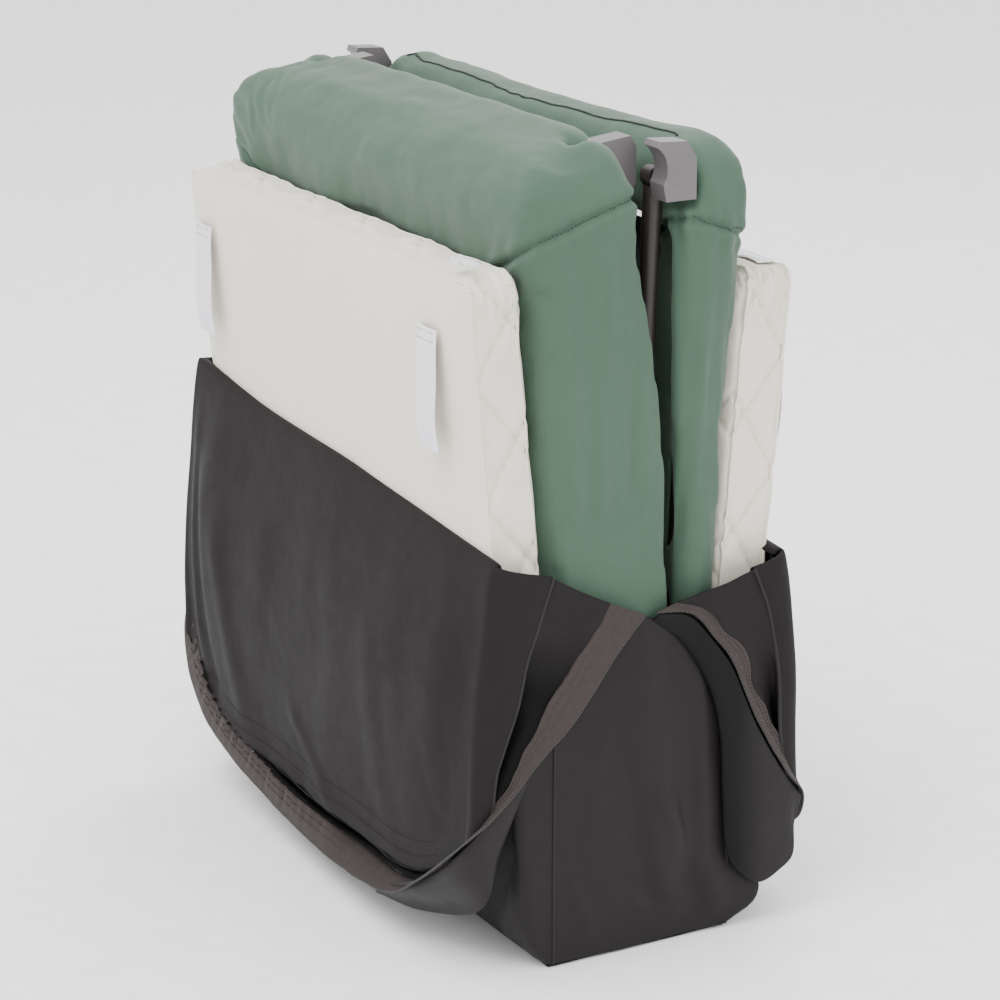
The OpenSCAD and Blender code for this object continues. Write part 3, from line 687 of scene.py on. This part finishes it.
def strap(name, body, side):
    """One hanging webbing strap with its two bar tacks."""
    low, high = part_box(body)
    x0, x1 = low.x, high.x
    hang_y = (low.y + high.y) / 2
    top = high.z
    nu, nv = 9, 40
    pts = np.zeros((nu, nv, 3))
    for i, u in enumerate(np.linspace(0, 1, nu)):
        for j, v in enumerate(np.linspace(0, 1, nv)):
            sway = 0.0035 * math.sin(v * math.pi) + 0.0010 * math.sin(v * 9 + 1)
            curl = 0.0012 * (2 * u - 1) ** 2
            pts[i, j] = (x0 + (x1 - x0) * u, hang_y + side * (sway - curl + 0.0006), top - STRAP_L * v)
    band = sheet_from(name, pts, WEBBING, 0.0016)
    belongs(band, body, "strap_webbing", body)
    bars = []
    for v in (0.03, 0.10):
        row = [(x, hang_y + side * (0.0022 + 0.0035 * math.sin(v * math.pi)), top - STRAP_L * v)
               for x in np.linspace(x0 + 0.003, x1 - 0.003, 24)]
        bar = stitches(name + "_bar_tack_%d" % len(bars), row, THREAD_CREAM_GREYED_AS_SHADE, 0.0022, 0.8, 0.0005)
        bars.append(belongs(bar, body, "strap_webbing"))


for end in ("left", "right"):
    strap("front_strap_webbing_" + end, "front_strap_" + end, -1)
    strap("rear_strap_webbing_" + end, "rear_strap_" + end, 1)


# ---- the bag's shell
BAG_HALF = 0.3205
BASE_HALF = 0.0975


def front_y(z):
    return -0.1225 - (z - 0.030) * math.tan(LEAN[-1]) if z > 0.03 else \
        -BASE_HALF - (0.1225 - BASE_HALF) * (z / 0.03) ** 0.8


def rear_y(z):
    return 0.1280 + (z - 0.021) * math.tan(LEAN[1]) if z > 0.021 else \
        BASE_HALF + (0.1280 - BASE_HALF) * (z / 0.021) ** 0.8


RIM = {
    "front": [(-0.3205, 0.458), (-0.169, 0.440), (0.011, 0.433), (0.117, 0.426), (0.219, 0.419),
              (0.3205, 0.411)],
    "right": [(-0.16, 0.411), (-0.093, 0.387), (-0.04, 0.360), (0.016, 0.337), (0.08, 0.352), (0.16, 0.378)],
    "rear": [(0.3205, 0.378), (0.1, 0.392), (-0.1, 0.416), (-0.3205, 0.438)],
    "left": [(0.16, 0.438), (0.08, 0.418), (0.016, 0.400), (-0.08, 0.424), (-0.16, 0.458)],
}


RIM_TUCK = 0.005


def shell_rows():
    """Bag wall points: round the four sides, and from the base up to the rim on each."""
    columns = []

    def rim_height(name, along):
        rim = np.array(sorted(RIM[name]))
        return np.interp(along, rim[:, 0], rim[:, 1]) - RIM_TUCK

    def column(position, rim_z):
        """position(z) is the wall's place at height z."""
        heights = np.concatenate([[0.001, 0.004, 0.012, 0.022], np.linspace(0.036, rim_z, 46)])
        return [position(z) for z in heights]

    def corner_shift(t):
        """0 along a side, 1 at its very ends, for the rounded corners."""
        return max(0.0, 1 - min(t, 1 - t) / 0.025)

    for name, count in (("front", 96), ("right", 46), ("rear", 80), ("left", 46)):
        for k in range(count):
            t = k / count
            if name in ("front", "rear"):
                sign = 1 if name == "front" else -1
                x = sign * (-BAG_HALF + 2 * BAG_HALF * t)
                rim_z = rim_height(name, x)
                bend = 0.010 * corner_shift(t) ** 2

                def place(z, x=x, name=name, bend=bend):
                    y = front_y(z) + bend if name == "front" else rear_y(z) - bend
                    return (x, y, z)
            else:
                def place(z, t=t, name=name):
                    a, b = front_y(z), rear_y(z)
                    y = a + (b - a) * t if name == "right" else b + (a - b) * t
                    bend = 0.006 * corner_shift(t) ** 2
                    return ((BAG_HALF - bend) * (1 if name == "right" else -1), y, z)
                rim_z = rim_height(name, -0.157 + 0.31 * t if name == "right" else 0.157 - 0.31 * t)
            columns.append(column(place, rim_z))
    return np.array(columns)


def crease(p, a, b, width, height, axes):
    """A ridge along the line a to b in two of the coordinates, fading at its ends."""
    q, a, b = p[:, axes], np.array(a), np.array(b)
    run = b - a
    t = ((q - a) @ run) / (run @ run)
    d = np.linalg.norm(q - (a + np.clip(t, 0, 1)[:, None] * run), axis=1)
    fade = np.clip(np.minimum(t + 0.15, 1.15 - t) / 0.3, 0, 1)
    return height * bump(d, width) * fade


shell = shell_rows()
flat = shell.reshape(-1, 3)
right_end = (flat[:, 0] > BAG_HALF - 0.008).astype(float)
left_end = (flat[:, 0] < -BAG_HALF + 0.008).astype(float)
not_end = (1 - right_end) * (1 - left_end)
front_side = (flat[:, 1] < np.array([front_y(z) for z in flat[:, 2]]) + 0.012) * not_end
rear_side = (1 - front_side) * not_end
sag = rumple(flat, 7, 31, (1, 1, 0.6)) * 0.003
end_folds = np.zeros(len(flat))
for a, b, width, height in (
        ((0.005, 0.33), (0.030, 0.02), 0.028, 0.006), ((-0.060, 0.30), (-0.085, 0.06), 0.014, -0.004),
        ((0.065, 0.29), (0.085, 0.02), 0.014, 0.005), ((0.045, 0.30), (0.060, 0.05), 0.010, -0.005),
        ((-0.030, 0.22), (0.020, 0.03), 0.010, -0.004), ((0.020, 0.16), (0.085, 0.035), 0.009, 0.004),
        ((-0.09, 0.11), (-0.05, 0.02), 0.007, 0.003), ((-0.02, 0.08), (0.05, 0.02), 0.007, -0.003)):
    end_folds += crease(flat, a, b, width, height, [1, 2])
end_folds *= 1 - 0.8 * step(0.070, 0.085, flat[:, 1]) * step(0.06, 0.10, flat[:, 2])
side_folds = np.zeros(len(flat))
for a, b, width, height in (
        ((0.31, 0.17), (0.24, 0.06), 0.010, 0.007), ((0.31, 0.12), (0.25, 0.03), 0.008, -0.006),
        ((0.31, 0.08), (0.27, 0.01), 0.007, 0.005), ((0.30, 0.22), (0.26, 0.11), 0.008, -0.005),
        ((-0.30, 0.40), (-0.26, 0.15), 0.012, 0.004), ((0.10, 0.10), (0.20, 0.02), 0.012, 0.004),
        ((-0.10, 0.14), (-0.18, 0.03), 0.014, 0.004), ((0.0, 0.30), (0.05, 0.12), 0.018, 0.003)):
    side_folds += crease(flat, a, b, width, height, [0, 2])
low_fade = step(0.004, 0.03, flat[:, 2])
flat = flat.copy()
flat[:, 0] += (right_end - left_end) * np.maximum(end_folds + sag, -0.0006) * low_fade
flat[:, 1] += (rear_side - front_side) * (side_folds + sag) * low_fade * 0.8
# The slack corner at the back of the right end flares out, and the bottom edge is a little uneven
flare = np.exp(-((flat[:, 1] - 0.128) / 0.035) ** 2 - ((flat[:, 2] - 0.035) / 0.028) ** 2) * right_end
flat[:, 0] += flare * 0.010
flat[:, 1] += flare * 0.012
flat[:, 2] += step(0.03, 0.0, flat[:, 2]) * (0.0012 + 0.0012 * np.sin(flat[:, 1] * 46 + flat[:, 0] * 17))
bag_shell = sheet_from("bag_shell", flat.reshape(shell.shape), CHARCOAL, 0.0022, closed=True)
belongs(bag_shell, "bag", "bag_fabric", "bag_front", "bag_rear", "bag_end_right", "bag_end_left")

base_pts = np.zeros((60, 24, 3))
for i, u in enumerate(np.linspace(-1, 1, 60)):
    for j, v in enumerate(np.linspace(-1, 1, 24)):
        base_pts[i, j] = (u * (BAG_HALF - 0.002), v * (BASE_HALF - 0.0005),
                          0.0013 + 0.0004 * math.sin(u * 17) * math.sin(v * 5))
bag_floor = sheet_from("bag_base_cloth", base_pts, CHARCOAL, 0.0022, subdivide=0)
belongs(bag_floor, "bag", "bag_fabric", "bag_base")

shell_tree = tree_of(bag_shell)
for label, x, y in (("right_front", BAG_HALF + 0.002, -0.093), ("right_rear", BAG_HALF + 0.002, 0.100),
                    ("left_front", -BAG_HALF - 0.002, -0.093), ("left_rear", -BAG_HALF - 0.002, 0.100)):
    route = spline([(x, y, 0.004), (x, y, 0.10), (x, y, 0.22), (x, y * 1.02, 0.375)], 160)
    seam = tube_along("bag_corner_seam_" + label, lay_on(shell_tree, route, 0.0004), 0.0012, PIPING, 7)
    belongs(seam, "bag", "bag_fabric")

# ---- the turned-down hoods
def curve(points, count):
    """A spline through points given in millimetres."""
    return spline(np.array(points, float) / 1000, count)


def hood(body, side, rim, edge_right, edge_left, bottom, band_outer, band_inner, tuck,
         fold_upper, fold_lower, fold_bulge):
    """One half of the bag's lid, hanging outside the wall: panel, gusset, zip band and piping.

    The curves are in millimetres, the bulge and the two flat sizes in metres.
    """
    flap = body.replace("hood", "flap")
    wrap, middle_n, nv = 12, 84, 46
    nu = middle_n + 2 * wrap
    rim, low = curve(rim, middle_n), curve(bottom, middle_n)
    drop = np.linspace(0, 1, nv)
    pts = np.zeros((nu, nv, 3))
    for i in range(middle_n):
        top, end = rim[i], low[i]
        column = top + (end - top) * drop[:, None]
        ends = step(0.32, 0.24, abs(top[0]))
        column[:, 1] += side * 0.018 * np.sin(np.clip(drop * 1.1, 0, 1) * math.pi) * (0.25 + 0.75 * ends)
        pts[wrap + i] = column
    edge, other = curve(edge_right, nv), curve(edge_left, nv)
    for k in range(wrap):
        t = (k + 1) / wrap
        for column, corner, free, out in ((middle_n + wrap + k, pts[middle_n + wrap - 1], edge, 1),
                                          (wrap - 1 - k, pts[wrap], other, -1)):
            pts[column] = corner * (1 - t) + free * t
            pts[column, :, 0] += out * 0.006 * math.sin(t * math.pi)
            pts[column, :, 1] += side * 0.010 * math.sin(t * math.pi) * (1 - t)
    # The cloth turns over the rim: the first rows lie inside it, against the mattress
    crest = pts[:, 0].copy()
    for row, (inward, drop_z) in enumerate(((0.0130, 0.0060), (0.0110, 0.0008),
                                            (0.0050, -0.0006), (0.0012, 0.0004))):
        towards = np.zeros((nu, 3))
        towards[:, 1] = -side * inward
        towards[:wrap, 0], towards[wrap + middle_n:, 0] = inward * 0.5, -inward * 0.5
        towards[:wrap, 1] *= 0.2
        towards[wrap + middle_n:, 1] *= 0.2
        towards[:, 2] = -drop_z
        pts[:, row] = crest + towards
    q = pts.reshape(-1, 3)
    soft = rumple(q, 6.5, 41 + side, (1, 0.5, 0.5)) * 0.005
    for a, b, width, height in (
            ((-0.30, 0.42), (-0.27, 0.14), 0.010, 0.004), ((-0.285, 0.36), (-0.24, 0.10), 0.012, -0.004),
            ((-0.22, 0.30), (-0.16, 0.09), 0.016, 0.003), ((-0.05, 0.16), (0.04, 0.085), 0.010, 0.004),
            ((-0.12, 0.13), (-0.02, 0.082), 0.008, -0.004), ((0.12, 0.30), (0.16, 0.10), 0.022, 0.003),
            ((0.24, 0.36), (0.27, 0.15), 0.014, -0.003)):
        soft += crease(q, a, b, width, height, [0, 2])
    fade = np.tile(step(0.02, 0.25, drop), nu)
    q[:, 1] += side * np.maximum(soft, -0.003) * fade
    panel = sheet_from(body + "_panel", q.reshape(pts.shape), LINING, 0.0020)
    belongs(panel, body, "bag_fabric", flap)

    path = np.vstack([pts[-1, 3:], pts[::-1, -1][1:], pts[0, 3:][::-1][1:]])
    count = 220
    hem = spline(path[::6], count)
    outer, inner, tucked = curve(band_outer, count), curve(band_inner, count), curve(tuck, count)
    t = np.linspace(0, 1, count)
    gusset_pts = np.stack([hem * (1 - w) ** 3 + tucked * (3 * w * (1 - w)) + inner * w ** 3
                           for w in np.linspace(0, 1, 12)], 1)
    g = gusset_pts.reshape(-1, 3)
    ripple = rumple(g, 22, 51 + side) * 0.003
    gather = np.repeat(step(0.42, 0.55, t) * step(0.98, 0.9, t), 12) * np.tile(np.linspace(0, 1, 12), count)
    ripple = ripple + gather * 0.0028 * np.sin(np.repeat(t, 12) * 520)
    g[:, 1] += side * ripple
    g[:, 2] += ripple * 0.6
    # The gusset's lining carries painted shade: near black low in the slot behind the zip band.
    gusset = sheet_from(body + "_gusset", g.reshape(gusset_pts.shape),
                        SLOT_FRONT_PAINTED_SHADE if side < 0 else SLOT_REAR_PAINTED_SHADE, 0.0018, subdivide=0)
    belongs(gusset, body, "bag_fabric", flap + "_wings")

    inner_edge = gusset_pts[:, -1]
    band = np.stack([inner_edge + (outer - inner_edge) * w for w in np.linspace(0, 1, 9)], 1)
    b = band.reshape(-1, 3)
    b[:, 1] += side * (0.0012 + rumple(b, 30, 61 + side) * 0.0008)
    band = b.reshape(band.shape)
    tape = sheet_from(body + "_zip_band", band, BROWN_TAPE, 0.0016, subdivide=0)
    belongs(tape, body, "bag_tape", flap + "_zip_tape")
    away = np.array([0.0010, side * 0.0014, 0.0])
    for label, column, material, pitch, radius in (
            ("seam_a", 2, THREAD_DARK, 0.0042, 0.0005), ("seam_b", 4, THREAD_DARK, 0.0042, 0.0005),
            ("teeth", 8, COIL_DARK, 0.0028, 0.0013)):
        row = stitches(body + "_zip_" + label, band[:, column] + away * (0.7 if column < 8 else 0.0),
                       material, pitch, 0.7, radius)
        belongs(row, body, "bag_tape")
    for label, route in (("right", pts[-1, 3:]), ("left", pts[0, 3:])):
        cord = tube_along(body + "_piping_" + label, spline(route[::3], 120), 0.0018, PIPING)
        belongs(cord, body, "bag_fabric")
    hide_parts(flap + "_piping")
    for label, row in (("a", -3), ("b", -5)):
        line = pts[18:-18, row] + np.array([0, side * 0.0016, 0])
        seam = stitches(body + "_hem_stitching_" + label, spline(line[::3], 260), THREAD_DARK)
        belongs(seam, body, "bag_fabric")
    along = 72
    upper, lower = curve(fold_upper, along), curve(fold_lower, along)
    ends = np.sin(np.linspace(0, math.pi, along))
    rows = []
    for w in np.linspace(0, 1, 22):
        row = upper * (1 - w) + lower * w
        row[:, 0] += fold_bulge * math.sin(w * math.pi) * ends
        row[:, 1] += side * 0.004 * math.sin(w * math.pi * 2) * ends
        rows.append(row)
    # On the rear hood this fold's lining carries painted shade, near black between the end wall and the zip
    # band.
    pouch = sheet_from(body + "_corner_fold", np.stack(rows, 1),
                       CORNER_FRONT if side < 0 else CORNER_REAR_PAINTED_SHADE, 0.0018)
    belongs(pouch, body, "bag_fabric")


hood("front_hood", -1,
     rim=[(-322, -165.5, 460), (-169, -164, 442), (11, -163, 435), (117, -162, 428), (219, -161.5, 421),
          (322, -160, 413)],
     edge_right=[(330, -100, 394), (331, -116, 355), (332, -129, 320), (332, -138, 277), (332, -153, 237),
                 (331, -162, 209), (330, -166, 180), (326, -178, 150)],
     edge_left=[(-330, -110, 452), (-331, -135, 380), (-332, -155, 300), (-330, -168, 230),
                (-322, -176, 165)],
     bottom=[(-310, -186, 150), (-275, -188, 105), (-200, -189, 80), (-60, -190, 76), (80, -190, 76),
             (190, -189, 76), (255, -187, 96), (312, -184, 140)],
     band_outer=[(331, 0, 343), (337, -39, 306), (340, -79, 257), (340, -113, 226), (338, -160, 178),
                 (325, -196, 145), (255, -203, 88), (192, -204, 52), (80, -200, 36), (-33, -196, 36),
                 (-140, -194, 46), (-218, -192, 58), (-282, -190, 82), (-320, -188, 130), (-332, -180, 180),
                 (-338, -150, 240), (-340, -100, 300), (-338, -40, 360), (-331, 0, 400)],
     band_inner=[(331, -40, 361), (336, -77, 311), (338, -105, 279), (338, -130, 238), (334, -150, 197),
                 (316, -172, 155), (255, -176, 96), (192, -176, 60), (80, -174, 52), (-33, -190, 64),
                 (-130, -191, 76), (-200, -190, 86), (-255, -188, 106), (-290, -186, 150), (-318, -176, 200),
                 (-330, -140, 260), (-334, -85, 325), (-334, -30, 385), (-331, -20, 420)],
     tuck=[(334, -70, 376), (322, -135, 320), (285, -163, 250), (275, -163, 160), (180, -150, 70),
           (0, -150, 56), (-180, -152, 70), (-285, -152, 120), (-310, -158, 200), (-326, -130, 300),
           (-334, -65, 432)],
     fold_upper=[(336, -132, 206), (325, -186, 148), (255, -195, 90), (150, -196, 40)],
     fold_lower=[(334, -130, 200), (322, -152, 130), (312, -166, 72), (225, -182, 40), (145, -192, 30)],
     fold_bulge=0.008)

hood("rear_hood", 1,
     rim=[(-322, 164.5, 440), (-100, 162.5, 418), (100, 160, 394), (322, 158.5, 380)],
     edge_right=[(330, 120, 368), (331, 138, 320), (332, 150, 260), (332, 154, 202), (330, 162, 160),
                 (325, 172, 125)],
     edge_left=[(-330, 110, 430), (-331, 135, 370), (-332, 155, 300), (-330, 166, 230), (-322, 174, 165)],
     bottom=[(-310, 184, 150), (-270, 186, 110), (-190, 187, 85), (-40, 188, 78), (100, 188, 76),
             (210, 187, 80), (275, 185, 98), (312, 180, 125)],
     band_outer=[(331, 10, 343), (334, 46, 337), (337, 70, 311), (338, 92, 281), (338, 107, 248),
                 (337, 124, 212), (336, 156, 158), (330, 182, 125), (290, 196, 80), (200, 198, 50),
                 (60, 196, 40), (-100, 194, 44), (-220, 192, 60), (-290, 188, 100), (-328, 176, 170),
                 (-338, 130, 250), (-338, 60, 350), (-331, 6, 398)],
     band_inner=[(331, 32, 349), (334, 62, 339), (335, 85, 313), (335, 110, 285), (334, 118, 250),
                 (333, 134, 220), (328, 160, 172), (318, 178, 135), (280, 180, 94), (200, 180, 66),
                 (60, 184, 66), (-100, 186, 72), (-210, 184, 86), (-270, 180, 122), (-314, 166, 190),
                 (-332, 118, 272), (-334, 55, 375), (-331, 24, 415)],
     tuck=[(334, 76, 358), (324, 140, 280), (300, 158, 190), (260, 155, 120), (160, 150, 70), (0, 150, 58),
           (-180, 150, 70), (-290, 150, 130), (-318, 150, 220), (-326, 130, 300), (-334, 66, 424)],
     fold_upper=[(330, 14, 341), (332, 46, 334), (335, 70, 308), (336, 92, 278), (336, 107, 246),
                 (335, 124, 210), (334, 156, 156), (330, 180, 125)],
     fold_lower=[(324, 10, 334), (324, 45, 305), (324.5, 76, 250), (325, 88, 198), (326, 91, 136),
                 (329, 96, 80), (334, 112, 56), (336, 132, 45), (335, 157, 55), (333, 171, 66),
                 (332, 171, 98), (331, 176, 110), (330, 180, 123)],
     fold_bulge=0.003)

# Stitched bar where the zip ends at the top of each end wall
for s, z in ((1, 0.331), (-1, 0.394)):
    bar = stitches("bag_end_bar_%s" % ("right" if s > 0 else "left"),
                   [(s * 0.3225, y, z + 0.0012 * math.sin(y * 200))
                    for y in np.linspace(-0.012, 0.042, 30)],
                   THREAD_DARK, 0.0030, 0.75, 0.0006)
    belongs(bar, "bag", "bag_tape")

# ---- hidden soft parts
def panel_sheet(name, node, body):
    """The wall cloth stretched over an end frame, following the node's slope."""
    low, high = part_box(node)
    nu, nv = 48, 60
    pts = np.zeros((nu, nv, 3))
    for i, u in enumerate(np.linspace(0, 1, nu)):
        for j, v in enumerate(np.linspace(0, 1, nv)):
            z = low.z + (high.z - low.z) * v
            y_top, y_low = (low.y, high.y) if "front" in node else (high.y, low.y)
            y = y_low + (y_top - y_low) * v
            sag = 0.0012 * math.sin(u * math.pi * 3) * math.sin(v * math.pi * 2)
            pts[i, j] = (low.x + (high.x - low.x) * u, y + sag, z)
    obj = sheet_from(name, pts, GREEN, 0.0024, subdivide=0)
    belongs(obj, body, "wall_fabric", node)


panel_sheet("front_frame_wall_panel", "front_panel", "front_frame")
panel_sheet("rear_frame_wall_panel", "rear_panel", "rear_frame")

for part in ("front", "rear"):
    low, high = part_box(part + "_foot_sleeve")
    cy, cz, r = (low.y + high.y) / 2, (low.z + high.z) / 2, (high.z - low.z) / 2
    nu, nv = 60, 24
    pts = np.zeros((nv, nu, 3))
    for i, a in enumerate(np.linspace(0, 2 * math.pi, nv, endpoint=False)):
        for j, u in enumerate(np.linspace(0, 1, nu)):
            pinch = 1 - 0.12 * bump(min(u, 1 - u), 0.02) + 0.02 * math.sin(u * 60 + 2 * a)
            rr = r * min(1.0, pinch)
            pts[i, j] = (low.x + (high.x - low.x) * u, cy + rr * math.cos(a), cz + rr * math.sin(a))
    foot = sheet_from(part + "_foot_rail_sleeve", pts, GREEN, 0.0016, closed=True, subdivide=0)
    belongs(foot, part + "_frame", "sleeve_fabric", part + "_foot_sleeve")


def zigzag(name, low, high, layers, material):
    """Cloth folded into upright layers between two heights."""
    nv, per = 40, 10
    nu = layers * per + 1
    pts = np.zeros((nu, nv, 3))
    span = high.x - low.x - 0.012
    for i in range(nu):
        u = i / (nu - 1) * layers
        k, f = int(min(u, layers - 1e-9)), u - int(min(u, layers - 1e-9))
        swing = f if k % 2 == 0 else 1 - f
        x = low.x + 0.006 + span * swing
        y = low.y + 0.003 + (high.y - low.y - 0.006) * (u / layers)
        for j, v in enumerate(np.linspace(0, 1, nv)):
            z = low.z + (high.z - low.z) * v
            pts[i, j] = (x, y + 0.0007 * math.sin(v * 14 + k), z - 0.003 * math.sin(k * 2.1) * v)
    obj = sheet_from(name, pts, material, 0.0010, subdivide=0)
    belongs(obj, "front_frame", "wall_fabric")
    return obj


net_low, net_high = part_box("folded_nets")
for s, end in ((1, "right"), (-1, "left")):
    lo = Vector((0.120 if s > 0 else -0.232, net_low.y, net_low.z))
    hi = Vector((0.232 if s > 0 else -0.120, net_high.y, net_high.z))
    zigzag("folded_net_" + end, lo, hi, 7, NETTING)
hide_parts("folded_nets")
floor_low, floor_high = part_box("folded_floor")
folded = zigzag("folded_floor_cloth", floor_low, floor_high, 5, FLOOR_CLOTH)
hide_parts("folded_floor")

# ---- hard parts keep their CAD shape
FINISH = {
    "front_tube": TUBE_DARKENED_AS_SHADE, "rear_tube": TUBE_DARKENED_AS_SHADE, "front_foot_rail": TUBE_DARKENED_AS_SHADE, "rear_foot_rail": TUBE_DARKENED_AS_SHADE,
    "right_front_rail": TUBE_DARKENED_AS_SHADE, "right_rear_rail": TUBE_DARKENED_AS_SHADE, "left_front_rail": TUBE_DARKENED_AS_SHADE, "left_rear_rail": TUBE_DARKENED_AS_SHADE,
    "front_feet": RUBBER, "rear_feet": RUBBER, "front_lower_brackets": FITTING,
    "rear_lower_brackets": FITTING, "front_corner_blocks": FITTING, "rear_corner_caps": FITTING,
    "front_pivot_pins": PIN, "rear_pivot_pins": PIN, "fold_pins": PIN, "base_board": BOARD,
    "bag_zip_slider": ZIP_METAL, "bag_zip_pull": ZIP_METAL, "front_zip_slider": ZIP_WHITE,
    "front_zip_pull": ZIP_WHITE, "rear_zip_slider": ZIP_WHITE,
}
BEVELLED = {"front_corner_blocks": 0.0022, "rear_corner_caps": 0.0018, "front_lower_brackets": 0.0015,
            "rear_lower_brackets": 0.0015, "front_feet": 0.002, "rear_feet": 0.002, "base_board": 0.0012,
            "bag_zip_slider": 0.0009, "bag_zip_pull": 0.0006, "front_zip_slider": 0.0007,
            "front_zip_pull": 0.0006, "rear_zip_slider": 0.0007}
for node, material in FINISH.items():
    obj = nodes[node]
    obj.data.materials.clear()
    obj.data.materials.append(material)
    if node in BEVELLED:
        bevel = obj.modifiers.new("bevel", "BEVEL")
        bevel.width, bevel.segments, bevel.limit_method = BEVELLED[node], 3, "ANGLE"
        bevel.angle_limit = math.radians(40)
        bevel.harden_normals = False

# ---- studio floor
reach = 6.0
floor_pts = np.array([[(x, y, -0.0005) for y in np.linspace(-reach, reach, 9)]
                      for x in np.linspace(-reach, reach, 9)])
studio_floor = make("studio_floor", floor_pts.reshape(-1, 3), grid_faces(9, 9), STUDIO)
